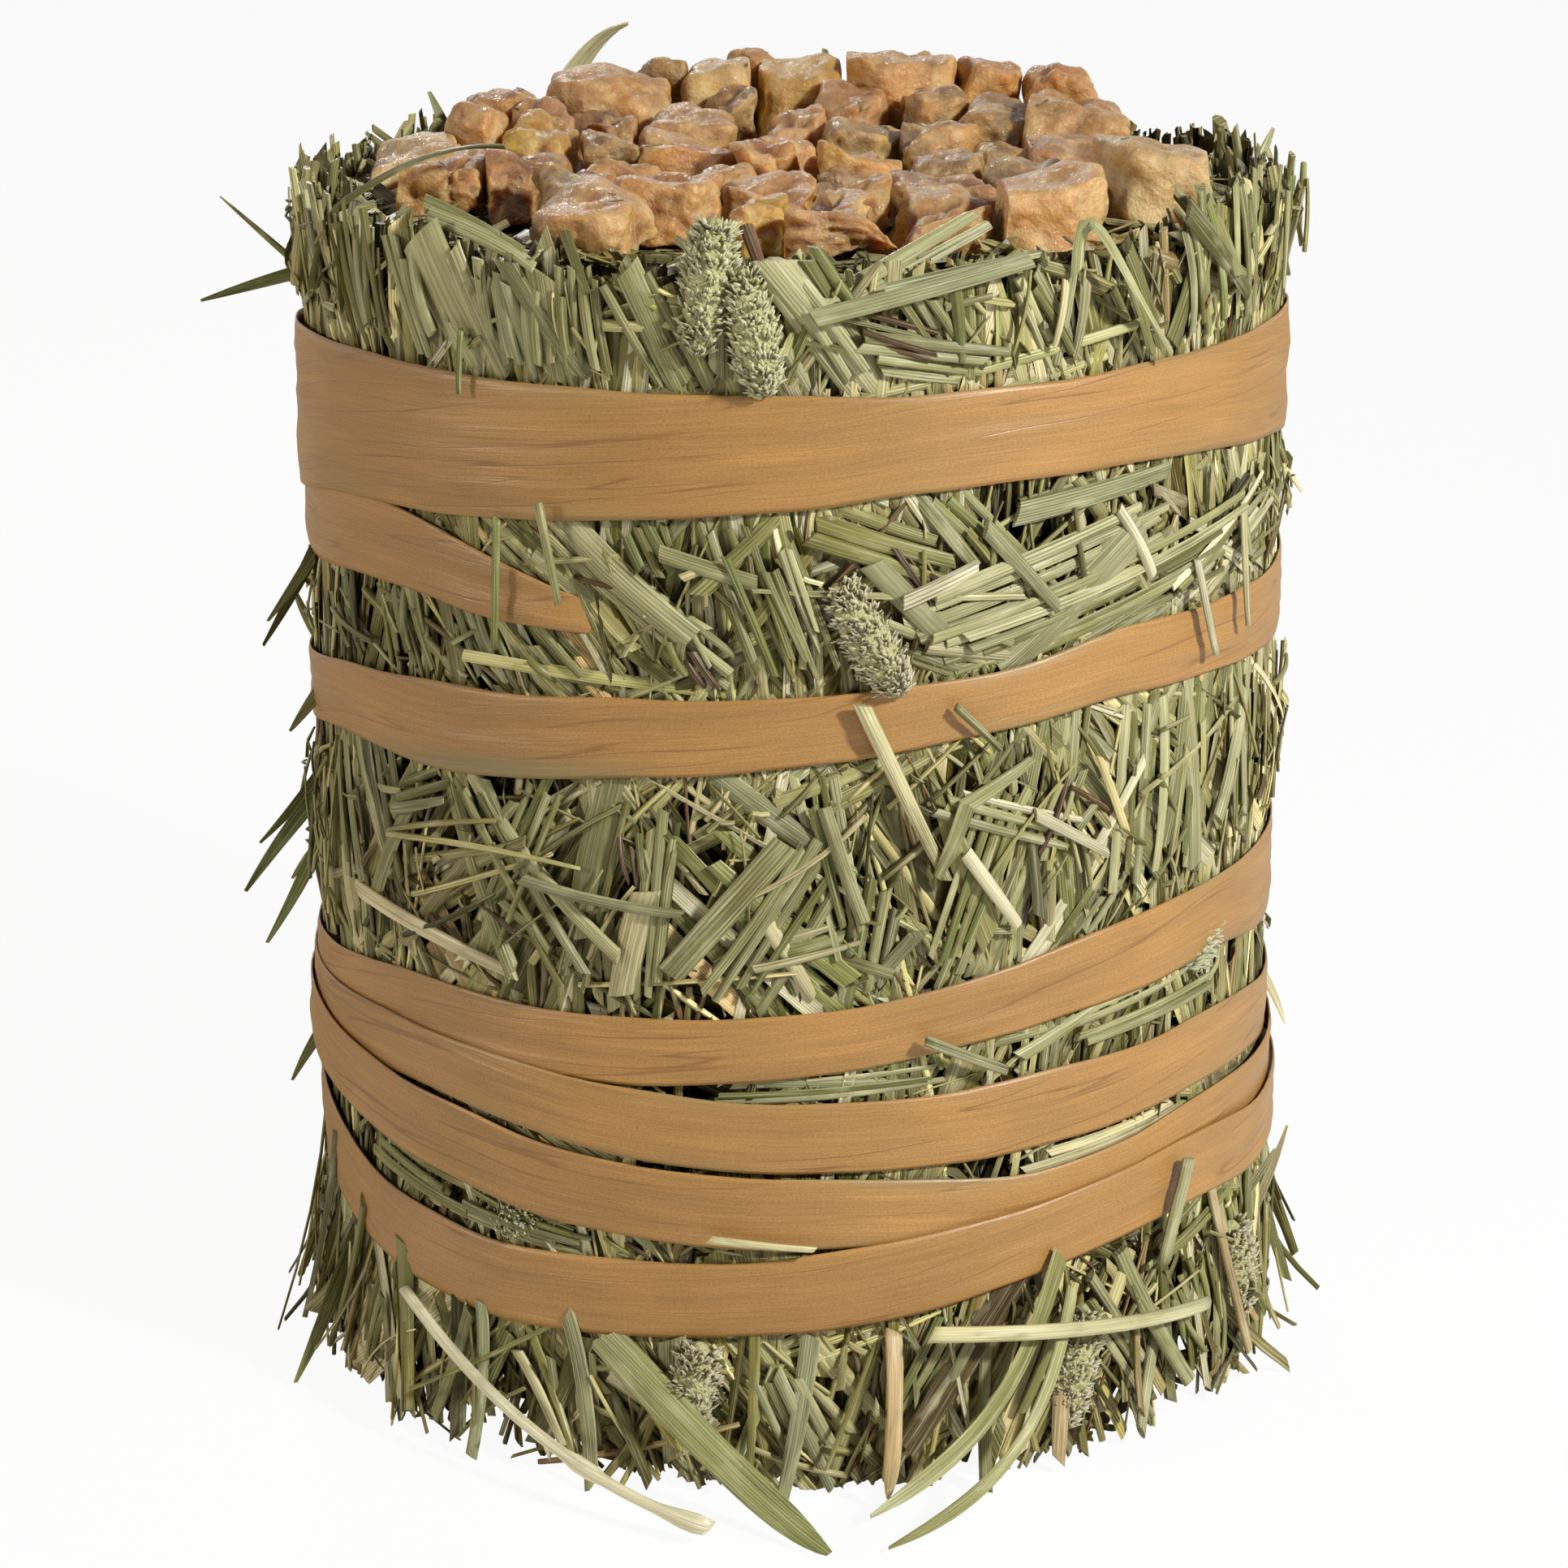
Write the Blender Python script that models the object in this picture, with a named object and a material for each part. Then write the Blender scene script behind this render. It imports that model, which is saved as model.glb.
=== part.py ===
"""Small round hay bale, wound with one long paper ribbon and topped with dried apple dice.

Metres, +Z up. The origin is the centre of the flat base, and -Y is the front.
Azimuths are degrees round the bale: 0 at the front, growing to the right.
"""
import math
import random

import bmesh
import bpy
from mathutils import Matrix, Vector, noise

MM = 0.001

# Pressed hay.
BALE_RADIUS = 48.8 * MM
BALE_SEGMENTS = 36
APPLE_BED_HEIGHT = 116.2 * MM
APPLE_BED_RADIUS = 44.3 * MM
BASE_RADIUS = 45.0 * MM
BALE_DENT = 0.7 * MM
SIDE_ROWS = 6

# Stalks that are fused to the bale.
STALK_ROOT = 1.3 * MM
STALK_RELIEF = 1.1 * MM
SIDE_ROW_PITCH = 9.0
SIDE_STALKS_IN_ROW = 9
RIM_STALKS = 28
FRINGE_STALKS = 28

# Paper ribbon.
RIBBON_RADIUS = 49.5 * MM
RIBBON_THICKNESS = 0.25 * MM
RIBBON_LAYER_PITCH = 0.5 * MM
RIBBON_STEP = 12
RIBBON_CLEARANCE = 0.55

# Dried apple.
APPLE_GAP = 0.35 * MM
APPLE_REACH = 43.2 * MM
APPLE_SPREAD = 1.26
APPLE_FINEST = 1.7 * MM
APPLE_FLOOR = APPLE_BED_HEIGHT + 0.35 * MM

# The ribbon's course: degrees wound clockwise from the front, seen from above,
# with the heights of its lower and upper edges in millimetres.
RIBBON_COURSE = (
    (24, 84, 87.5), (36, 84.5, 90.5), (50, 85.5, 93.5), (75, 84.5, 94.5), (100, 85, 96),
    (180, 91, 101.5), (240, 94.5, 106), (277, 96, 108.5), (315, 98.5, 108), (345, 98, 107),
    (360, 96.5, 107), (395, 94, 107), (420, 93, 107.5), (440, 90.5, 107), (470, 88, 104),
    (540, 83, 94), (590, 79, 88), (637, 75.5, 83.5), (680, 76.5, 83), (700, 74.5, 80.5),
    (720, 72.5, 79), (745, 70, 78), (765, 68.5, 77), (780, 69, 76), (800, 66.5, 73.5),
    (850, 61.5, 69), (910, 55.5, 63), (960, 50, 58), (1000, 46, 55.5), (1023, 47.5, 55),
    (1040, 46.5, 54), (1060, 44.5, 51), (1080, 42, 48.5), (1100, 40.5, 47), (1130, 40, 47),
    (1155, 37.5, 44.5), (1190, 36, 43), (1260, 35, 42), (1320, 34, 41), (1359, 33, 39.5),
    (1382, 34.5, 41.5), (1410, 33, 40.5), (1440, 32.5, 39.5), (1460, 33.5, 40.5),
    (1486, 36, 42), (1515, 35.5, 41.5), (1550, 34, 40.5), (1620, 30.5, 37), (1680, 28, 34.5),
    (1728, 26.5, 33), (1746, 26, 33), (1770, 24, 30.5), (1785, 24.5, 31.5), (1800, 25, 32),
    (1825, 25.5, 33), (1845, 28, 35.5), (1875, 31, 38), (1910, 30.5, 37.5), (1980, 27, 34),
    (2040, 23.5, 30.5), (2088, 21.5, 28.5), (2110, 22.5, 29.5), (2130, 20.5, 27.5),
    (2150, 17.5, 25.5), (2165, 16, 23.5), (2193, 14, 22), (2205, 14.5, 22.5),
    (2215, 15.5, 23.5), (2234, 18.5, 27), (2260, 21.5, 30), (2300, 24, 31), (2328, 26, 30.5),
)

# Long stalks lying on the side: azimuth and height of both ends, and width, in mm.
SIDE_STALKS = (
    (-43, 119.5, -36, 108, 6.0), (-31, 118, -23, 108.5, 2.3), (2, 116, 19, 122, 2.5),
    (-2, 119, 9, 108, 3.5), (-17, 118, -12, 108, 2.7), (45, 122, 56, 113.5, 2.5),
    (39, 93, 23, 81.5, 3.9), (-28, 94, -11, 84.5, 3.5), (-25, 89.5, -6, 79.5, 2.6),
    (11, 88.5, 19, 91, 2.0), (-43, 68, -32, 50, 2.0), (-39, 68, -19, 54, 1.8),
    (-20, 69.5, -24, 54.5, 4.7), (-9, 70, 6, 62.5, 2.7), (-1, 65.5, -13, 52.5, 2.8),
    (18, 64, 24, 56.5, 1.8), (18, 68.5, 15, 62, 1.8), (44, 74.5, 34, 54.5, 2.0),
    (29, 73.5, 32, 54.5, 2.3), (-56, 52, -32, 50.3, 2.0), (-16, 60, -19, 49.7, 3.0),
    (50, 75, 50, 58.5, 2.0), (59, 95, 58, 87, 2.0), (66, 74, 54, 61.5, 2.0),
)

# Stray stalks that leave the bale: root and tip in mm, and width.
STRAY_STALKS = (
    ((-46.5, 4, 108), (-57.7, 2, 117.5), 1.4), ((-46.0, -8, 112), (-58.4, -10, 109), 1.8),
    ((-46.5, -8, 86), (-53.2, -12, 74.5), 2.4), ((-47.0, -6, 58), (-56.4, -8, 47.4), 2.2),
    ((-46.5, -10, 55), (-53.6, -14, 43.8), 1.6), ((-47.0, 4, 50), (-53.0, 4, 45), 1.6),
    ((-44.0, -19, 14), (-50.8, -26, 0.6), 2.4), ((46.8, 6, 94), (52.5, 5, 86.5), 1.4),
    ((43.5, -20, 15), (49.8, -13, 21), 1.4), ((46.5, -3, 12), (53.0, -5, 2), 2.6),
    ((44.0, 18, 112), (50.5, 24, 121.5), 2.0), ((20, 43, 108), (26, 51, 117), 1.8),
    ((-24, 41.5, 73), (-31, 49.5, 80), 1.8), ((30, 37, 64), (37, 46, 58), 2.2),
    ((4, 47, 16), (8, 58.5, 1), 3.0), ((-30, 36, 14), (-39, 46, 1), 2.2),
    ((33, 35, 13), (41, 43, 1), 2.2), ((-22, 41.0, 114), (-18, 40.5, 130.6), 5.0),
    ((-35, 30, 114), (-38.5, 26.5, 125), 2.6), ((5, 45.5, 114), (3.5, 44, 127.5), 3.6),
)

# Azimuths where the fringe leaves room for the roots of the loose pieces.
LOOSE_ROOTS = (-50, -21, 11, 18, 28)

# Seed heads lying in the hay: azimuth, height, tilt from upright in degrees, half length in mm.
SEED_HEADS = (
    (-9, 116, 8, 7.0), (-4, 114.5, -12, 6.5), (9, 86, 38, 6.5), (35, 9.5, 12, 6.5),
    (62, 13.5, -14, 6.0), (-12, 8.5, 10, 6.0), (150, 71, 30, 6.5), (205, 10, -10, 6.0),
)

# Apple dice from back to front: x, y, width, depth, height in mm and turn in degrees.
APPLE_DICE = (
    (-14.0, 37.5, 5.0, 6.5, 10.2, 4), (-8.1, 35.5, 7.0, 7.5, 10.3, -3), (0.5, 35.5, 9.4, 8.0, 10.8, 2),
    (12.0, 35.0, 10.4, 9.5, 12.2, -4), (20.9, 34.0, 6.0, 8.0, 11.0, 6), (28.5, 29.5, 8.0, 8.5, 10.3, -8),
    (-19.7, 28.5, 11.4, 9.0, 9.7, 5), (-30.1, 23.0, 8.4, 9.5, 8.4, 8), (-6.7, 26.5, 4.6, 7.0, 7.7, 14),
    (5.8, 27.0, 7.2, 7.0, 8.8, -12), (14.9, 26.0, 6.2, 7.0, 8.3, 8), (21.8, 20.8, 7.0, 9.0, 8.3, -5),
    (-4.6, 40.6, 5.0, 4.0, 11.0, 0), (0.2, 20.0, 6.4, 7.5, 8.0, 10), (28.8, 19.0, 10.4, 10.0, 8.0, 7),
    (-11.4, 17.5, 9.0, 7.5, 7.4, -6), (-20.1, 18.5, 6.6, 8.0, 7.6, 16), (-32.0, 14.0, 6.0, 9.0, 8.0, -10),
    (-24.8, 9.0, 8.0, 8.5, 7.3, 5), (7.2, 13.0, 7.0, 8.0, 7.4, -7), (14.4, 12.0, 7.4, 8.0, 7.1, 9),
    (-38.6, 8.0, 8.4, 9.0, 5.6, 6), (-10.2, 4.5, 11.0, 8.0, 6.5, -4), (-1.4, 9.5, 4.4, 6.0, 6.6, 12),
    (15.1, -1.0, 8.0, 9.0, 6.1, -10), (5.7, -1.0, 9.2, 9.5, 6.4, 5), (27.5, 5.5, 10.4, 9.0, 5.8, -3),
    (-18.6, 6.0, 6.4, 8.0, 6.8, 14), (-26.2, 16.8, 6.5, 6.5, 8.2, 0), (-2.7, 0.0, 5.2, 7.0, 6.4, -12),
    (20.9, 5.5, 6.0, 7.5, 5.9, 12), (-33.9, -7.0, 8.8, 11.0, 6.3, -8), (-27.0, -6.5, 6.0, 12.0, 6.2, -32),
    (-16.6, -6.5, 7.0, 8.5, 5.6, -5), (-6.7, -9.5, 6.0, 7.5, 5.0, 10), (4.5, -11.5, 7.5, 7.0, 5.0, -9),
    (34.5, -12.5, 9.6, 11.5, 8.6, 12), (24.0, -11.5, 8.0, 11.0, 5.4, 14), (-20.8, -18.0, 6.5, 9.0, 6.6, 12),
    (-12.3, -20.5, 8.4, 10.5, 6.2, -8), (14.0, -14.0, 9.0, 8.5, 5.3, 6), (-2.6, -17.0, 8.6, 8.0, 5.2, -8),
    (6.0, -21.5, 6.5, 7.0, 5.3, 8), (-18.7, -32.0, 9.8, 10.5, 5.8, -4), (-3.2, -30.5, 5.0, 8.5, 4.7, 12),
    (3.7, -31.5, 8.8, 10.0, 6.0, -6), (14.2, -29.5, 8.6, 11.5, 5.9, 8), (23.5, -28.5, 9.6, 12.5, 7.6, -4),
)

HAY_COLOUR = (0.34, 0.36, 0.19)
BLADE_COLOUR = (0.42, 0.46, 0.24)
STRAW_COLOUR = (0.55, 0.50, 0.30)
RIBBON_COLOUR = (0.47, 0.27, 0.12)
APPLE_COLOURS = ((0.60, 0.38, 0.20), (0.52, 0.33, 0.19), (0.66, 0.46, 0.24))


def clear_scene():
    for item in list(bpy.data.objects):
        bpy.data.objects.remove(item, do_unlink=True)


def new_collection(name):
    collection = bpy.data.collections.new(name)
    bpy.context.scene.collection.children.link(collection)
    return collection


def new_material(name, colour, roughness):
    material = bpy.data.materials.new(name)
    material.use_nodes = True
    shader = material.node_tree.nodes["Principled BSDF"]
    shader.inputs["Base Color"].default_value = (*colour, 1.0)
    shader.inputs["Roughness"].default_value = roughness
    shader.inputs["Metallic"].default_value = 0.0
    return material


def face_outwards(bm):
    """Turns a closed shell that is inside out."""
    if bm.calc_volume(signed=True) < 0:
        bmesh.ops.reverse_faces(bm, faces=bm.faces)


def new_object(name, bm, collection, material=None):
    """Turns a bmesh into an object in a collection."""
    face_outwards(bm)
    mesh = bpy.data.meshes.new(name)
    bm.to_mesh(mesh)
    bm.free()
    item = bpy.data.objects.new(name, mesh)
    collection.objects.link(item)
    if material is not None:
        mesh.materials.append(material)
    return item


def around(azimuth, radius, height):
    """The point at an azimuth in degrees, on a radius and a height in metres."""
    angle = math.radians(azimuth)
    return Vector((radius * math.sin(angle), -radius * math.cos(angle), height))


def unit_box(cuts):
    """A box from -0.5 to 0.5 each way, cut across its X length."""
    bm = bmesh.new()
    bmesh.ops.create_cube(bm, size=1.0)
    if cuts:
        long_edges = [e for e in bm.edges if abs(e.verts[0].co.x - e.verts[1].co.x) > 0.5]
        bmesh.ops.subdivide_edges(bm, edges=long_edges, cuts=cuts, use_grid_fill=True)
    mesh = bpy.data.meshes.new("unit_box")
    bm.to_mesh(mesh)
    bm.free()
    return mesh


def add_shaped(bm, mesh, place):
    """Adds a copy of a unit mesh to bm, each of its points moved by the place function."""
    piece = bmesh.new()
    piece.from_mesh(mesh)
    for vert in piece.verts:
        vert.co = place(vert.co)
    face_outwards(piece)
    shaped = bpy.data.meshes.new("shaped")
    piece.to_mesh(shaped)
    piece.free()
    bm.from_mesh(shaped)
    bpy.data.meshes.remove(shaped)


# The ribbon's course and the hay that it leaves free.

def course_at(turned):
    """Lower and upper edge of the ribbon, in mm, where it has turned so many degrees."""
    rows = RIBBON_COURSE
    last = len(rows) - 2
    index = next((i for i in range(last) if turned < rows[i + 1][0]), last)
    before, start, end = rows[max(index - 1, 0)], rows[index], rows[index + 1]
    after = rows[min(index + 2, last + 1)]
    span = end[0] - start[0]
    t = min(max((turned - start[0]) / span, 0.0), 1.0)
    edges = []
    for side in (1, 2):
        slope_in = (end[side] - before[side]) / (end[0] - before[0]) * span
        slope_out = (after[side] - start[side]) / (after[0] - start[0]) * span
        edges.append(
            (2 * t**3 - 3 * t**2 + 1) * start[side]
            + (t**3 - 2 * t**2 + t) * slope_in
            + (3 * t**2 - 2 * t**3) * end[side]
            + (t**3 - t**2) * slope_out
        )
    return edges


def ribbon_at(azimuth):
    """The lower and upper edges of each turn that passes this azimuth, on its straight facets."""
    first, last = RIBBON_COURSE[0][0], RIBBON_COURSE[-1][0]
    turned = -azimuth % 360
    found = []
    while turned <= last + 3:
        if turned >= first - 3:
            step, t = divmod((turned - first) / RIBBON_STEP, 1.0)
            start = course_at(first + step * RIBBON_STEP)
            end = course_at(first + (step + 1) * RIBBON_STEP)
            found.append([a + (b - a) * t for a, b in zip(start, end)])
        turned += 360
    return found


def is_free(azimuth, height_mm, margin_mm):
    """Whether no turn of the ribbon covers the place, with a margin."""
    return all(
        height_mm < low - margin_mm or height_mm > high + margin_mm
        for low, high in ribbon_at(azimuth)
    )


def ribbon_layers():
    """How many layers lie under the ribbon at each step of its course.

    A turn goes one layer out where it covers an earlier one, and eases up to it beforehand.
    """
    first, last = RIBBON_COURSE[0][0], RIBBON_COURSE[-1][0]
    steps = (last - first) // RIBBON_STEP
    per_turn = 360 // RIBBON_STEP
    raw = []

    def settled(i):
        return max(raw[max(i - 1, 0):i + 2])

    def eased(i):
        near = [settled(j) for j in range(max(i - 1, 0), min(i + 2, len(raw)))]
        return sum(near) / len(near)

    for i in range(steps + 1):
        low, high = course_at(first + i * RIBBON_STEP)
        under = 0
        for j in range(i - per_turn, -1, -per_turn):
            low_j, high_j = course_at(first + j * RIBBON_STEP)
            if low < high_j + RIBBON_CLEARANCE and high > low_j - RIBBON_CLEARANCE:
                under = max(under, eased(j) + 1)
        raw.append(under)
    return [eased(i) for i in range(steps + 1)]


def make_ribbon(collection, material):
    """One strip from its tucked start at the front left to its tucked end at the back."""
    layers = ribbon_layers()
    steps = len(layers) - 1
    first = RIBBON_COURSE[0][0]

    def place(co):
        step = round((co.x + 0.5) * steps)
        turned = first + step * RIBBON_STEP
        low, high = course_at(turned)
        height = (low if co.y < 0 else high) * MM
        radius = RIBBON_RADIUS + layers[step] * RIBBON_LAYER_PITCH
        if co.z > 0:
            radius += RIBBON_THICKNESS
        return around(-turned, radius, height)

    bm = bmesh.new()
    add_shaped(bm, unit_box(steps - 1), place)
    return new_object("paper_ribbon", bm, collection, material)


# Pressed hay.

def bale_core():
    """The pressed mass: a turned profile with a flat base, a bed for the apple and a dented side."""
    profile = [(0.0, APPLE_BED_HEIGHT), (APPLE_BED_RADIUS, APPLE_BED_HEIGHT)]
    profile += [(45.6 * MM, 117.6 * MM), (47.6 * MM, 118.0 * MM), (BALE_RADIUS, 116.0 * MM)]
    side_top, side_bottom = 116.0 * MM, 5.0 * MM
    for row in range(1, SIDE_ROWS + 1):
        height = side_top + (side_bottom - side_top) * row / SIDE_ROWS
        profile.append((BALE_RADIUS, height))
    profile += [(47.4 * MM, 1.8 * MM), (BASE_RADIUS, 0.0), (0.0, 0.0)]
    bm = bmesh.new()
    verts = [bm.verts.new((radius, 0.0, height)) for radius, height in profile]
    edges = [bm.edges.new(pair) for pair in zip(verts, verts[1:])]
    bmesh.ops.spin(
        bm, geom=verts + edges, cent=(0, 0, 0), axis=(0, 0, 1),
        angle=2 * math.pi, steps=BALE_SEGMENTS, use_merge=True,
    )
    bmesh.ops.remove_doubles(bm, verts=bm.verts, dist=0.00001)
    bmesh.ops.recalc_face_normals(bm, faces=bm.faces)
    for vert in bm.verts:
        radius = vert.co.xy.length
        if radius > BALE_RADIUS * 0.95 and vert.co.z > 1.0 * MM:
            dent = BALE_DENT * (0.5 + noise.noise(vert.co * 60.0))
            vert.co.xy *= 1.0 - max(dent, 0.0) / radius
    return bm


def add_side_stalk(bm, box, start, end, width_mm, lift_mm=0.0):
    """A flat stalk bent round the bale between two (azimuth, height) ends, kept off the ribbon."""
    per_degree = math.radians(1.0) * BALE_RADIUS / MM
    run = Vector(((end[0] - start[0]) * per_degree, end[1] - start[1]))
    length = run.length
    along = run.normalized()
    margin = RIBBON_CLEARANCE + 0.5 * width_mm * abs(along.x) + 0.1 * width_mm

    def spot(t):
        return start[0] + (end[0] - start[0]) * t, start[1] + (end[1] - start[1]) * t

    pieces = 24
    free = [is_free(*spot(i / pieces), margin) for i in range(pieces + 1)]
    best = (0, -1)
    first = 0
    for i in range(pieces + 2):
        if i > pieces or not free[i]:
            if i - 1 - first > best[1] - best[0]:
                best = (first, i - 1)
            first = i + 1
    t0, t1 = best[0] / pieces, best[1] / pieces
    if (t1 - t0) * length < 4.0:
        return

    def place(co):
        azimuth, height = spot(t0 + (t1 - t0) * (co.x + 0.5))
        across = co.y * width_mm * (1.0 - 0.35 * abs(co.x))
        azimuth -= across * along.y / per_degree
        height += across * along.x
        radius = BALE_RADIUS + (STALK_RELIEF if co.z > 0 else -STALK_ROOT)
        radius += lift_mm * MM * (co.x + 0.5)
        return around(azimuth, radius, height * MM)

    add_shaped(bm, box, place)


def add_straight_stalk(bm, box, root, tip, width):
    """A straight stalk from its root in the bale to a narrow tip, all in mm."""
    root, tip = Vector(root), Vector(tip)
    run = tip - root
    outward = Vector((root.x, root.y, 0.0)).normalized()
    across = run.cross(outward).normalized()
    flat = across.cross(run).normalized()

    def place(co):
        t = co.x + 0.5
        narrow = 1.0 - 0.65 * t
        point = root + run * t + across * (co.y * width * narrow) + flat * (co.z * 0.9 * narrow)
        return point * MM

    add_shaped(bm, box, place)


def add_random_side_stalks(bm, box, rng):
    """Short stalks all over the free hay, in staggered rows."""
    height = 26.0
    row = 0
    while height < 100.0:
        for i in range(SIDE_STALKS_IN_ROW):
            azimuth = (i + 0.5 * (row % 2) + rng.uniform(-0.25, 0.25)) * 360 / SIDE_STALKS_IN_ROW
            middle = height + rng.uniform(-2.5, 2.5)
            slope = math.radians(rng.gauss(90, 38))
            half = rng.uniform(7.0, 13.0)
            width = rng.uniform(2.0, 4.2)
            across = math.degrees(half * MM * math.cos(slope) / BALE_RADIUS)
            rise = half * math.sin(slope)
            if is_free(azimuth, middle, 1.5):
                start = (azimuth - across, middle - rise)
                end = (azimuth + across, middle + rise)
                add_side_stalk(bm, box, start, end, width, rng.uniform(0.0, 0.8))
        height += SIDE_ROW_PITCH
        row += 1


def add_rim_stalks(bm, box, rng):
    """Standing stalks round the rim, above the ribbon's top turn."""
    for i in range(RIM_STALKS):
        azimuth = (i + rng.uniform(-0.3, 0.3)) * 360 / RIM_STALKS
        top_turn = max(high for low, high in ribbon_at(azimuth))
        lean = rng.uniform(-5.0, 5.0)
        start = (azimuth, top_turn + 1.0)
        end = (azimuth + lean, rng.uniform(117.5, 121.8))
        add_side_stalk(bm, box, start, end, rng.uniform(2.2, 4.2), rng.uniform(-0.6, 0.8))


def add_fringe_stalks(bm, box, rng):
    """Hanging, splayed stalks round the foot, below the ribbon's lowest turn."""
    for i in range(FRINGE_STALKS):
        azimuth = (i + rng.uniform(-0.3, 0.3)) * 360 / FRINGE_STALKS
        if any(abs(azimuth % 360 - root % 360) < 3.0 for root in LOOSE_ROOTS):
            continue
        low_turn = min(low for low, high in ribbon_at(azimuth))
        lean = rng.gauss(0.0, 7.0)
        start = (azimuth, low_turn - 1.0)
        end = (azimuth + lean, rng.uniform(0.6, 3.0))
        add_side_stalk(bm, box, start, end, rng.uniform(1.8, 3.4), rng.uniform(0.5, 4.5))


def add_seed_heads(bm):
    """Plump seed heads, half sunk in the hay."""
    for azimuth, height, tilt, half_length in SEED_HEADS:
        turn = Matrix.Rotation(math.radians(azimuth), 4, "Z")
        lean = Matrix.Rotation(math.radians(tilt), 4, "Y")
        stretch = Matrix.Diagonal((3.0 * MM, 2.4 * MM, half_length * MM, 1.0))
        spot = Matrix.Translation(around(azimuth, BALE_RADIUS + 0.9 * MM, height * MM))
        bmesh.ops.create_uvsphere(
            bm, u_segments=6, v_segments=5, radius=1.0, matrix=spot @ turn @ lean @ stretch,
        )


def keep_main_shell(bm):
    """Fills the sealed hollows between stalks, by keeping only the shell with the most faces."""
    left = set(bm.faces)
    shells = []
    while left:
        queue = [left.pop()]
        shell = list(queue)
        while queue:
            for edge in queue.pop().edges:
                for face in edge.link_faces:
                    if face in left:
                        left.discard(face)
                        queue.append(face)
                        shell.append(face)
        shells.append(shell)
    shells.sort(key=len)
    for shell in shells[:-1]:
        bmesh.ops.delete(bm, geom=shell, context="FACES")


def fuse(base, added):
    """Joins the added object's shells to the base object, and removes the added object."""
    union = base.modifiers.new("Fuse", "BOOLEAN")
    union.operation = "UNION"
    union.solver = "EXACT"
    union.use_self = True
    union.object = added
    evaluated = base.evaluated_get(bpy.context.evaluated_depsgraph_get())
    bm = bmesh.new()
    bm.from_mesh(evaluated.to_mesh())
    evaluated.to_mesh_clear()
    keep_main_shell(bm)
    bmesh.ops.triangulate(bm, faces=bm.faces)
    base.modifiers.remove(union)
    bm.to_mesh(base.data)
    bm.free()
    bpy.data.objects.remove(added, do_unlink=True)


def make_pressed_hay(collection, material):
    """The bale with its stalks, strays and seed heads fused into one solid."""
    rng = random.Random(11)
    bent_box, straight_box = unit_box(1), unit_box(0)
    stalks = bmesh.new()
    for azimuth_a, height_a, azimuth_b, height_b, width in SIDE_STALKS:
        add_side_stalk(stalks, bent_box, (azimuth_a, height_a), (azimuth_b, height_b), width, 0.6)
    add_random_side_stalks(stalks, straight_box, rng)
    add_rim_stalks(stalks, straight_box, rng)
    add_fringe_stalks(stalks, straight_box, rng)
    for root, tip, width in STRAY_STALKS:
        add_straight_stalk(stalks, straight_box, root, tip, width)
    add_seed_heads(stalks)
    hay = new_object("pressed_hay", bale_core(), collection, material)
    fuse(hay, new_object("hay_stalks", stalks, collection))
    return hay


# Loose pieces that lie outside the bale.

def bezier(points, t):
    """The point at t on the Bezier curve through three or four control points."""
    while len(points) > 1:
        points = [a.lerp(b, t) for a, b in zip(points, points[1:])]
    return points[0]


def make_blade(name, points_mm, width, thickness, collection, material):
    """A long leaf blade along a curve, widest near its root and narrow at its tip."""
    controls = [Vector(point) for point in points_mm]

    def place(co):
        t = co.x + 0.5
        here = bezier(controls, t)
        along = (bezier(controls, min(t + 0.01, 1.0)) - bezier(controls, max(t - 0.01, 0.0)))
        outward = Vector((here.x, here.y, 0.0)).normalized()
        across = along.cross(outward).normalized()
        flat = across.cross(along).normalized()
        taper = 1.0 - 0.8 * t**3
        return (here + across * (co.y * width * taper) + flat * (co.z * thickness)) * MM

    bm = bmesh.new()
    add_shaped(bm, unit_box(5), place)
    return new_object(name, bm, collection, material)


def make_round_stalk(name, points_mm, radius, collection, material):
    """A round stalk: a bevelled curve through its control points."""
    controls = [Vector(point) for point in points_mm]
    curve = bpy.data.curves.new(name, "CURVE")
    curve.dimensions = "3D"
    curve.bevel_depth = radius * MM
    curve.bevel_resolution = 2
    curve.render_resolution_u = 0
    curve.use_fill_caps = True
    spline = curve.splines.new("POLY")
    steps = 7
    spline.points.add(steps)
    for i in range(steps + 1):
        spline.points[i].co = (*(bezier(controls, i / steps) * MM), 1.0)
    curve.materials.append(material)
    item = bpy.data.objects.new(name, curve)
    collection.objects.link(item)
    return item


def make_loose_pieces(collection, blade_material, straw_material):
    make_blade(
        "front_leaf_blade",
        [(-17.9, -46.4, 12.6), (-12.0, -53.0, 12.0), (-5.0, -56.5, 3.0), (3.2, -65.2, 0.9)],
        4.2, 0.6, collection, blade_material,
    )
    make_round_stalk(
        "noded_stalk",
        [(-38.8, -32.4, 13.0), (-31.0, -47.0, 11.0), (-19.0, -57.5, 5.0), (-8.0, -62.5, 2.2)],
        1.1, collection, straw_material,
    )
    make_round_stalk(
        "lying_stalk",
        [(13.0, -51.6, 17.0), (23.0, -51.5, 17.0), (33.5, -44.5, 14.5), (41.0, -33.2, 12.4)],
        0.9, collection, straw_material,
    )
    make_blade(
        "tan_stalk",
        [(9.5, -48.9, 16.2), (10.0, -53.5, 9.0), (8.9, -55.0, 1.6)],
        1.8, 0.8, collection, straw_material,
    )
    make_blade(
        "crossing_blade_left",
        [(15.4, -47.3, 13.6), (12.0, -54.5, 9.5), (7.2, -58.8, 2.2)],
        2.6, 0.6, collection, blade_material,
    )
    make_blade(
        "crossing_blade_right",
        [(23.4, -43.9, 11.0), (18.0, -56.5, 8.0), (8.8, -64.0, 0.9)],
        2.2, 0.6, collection, blade_material,
    )


# Dried apple.

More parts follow.
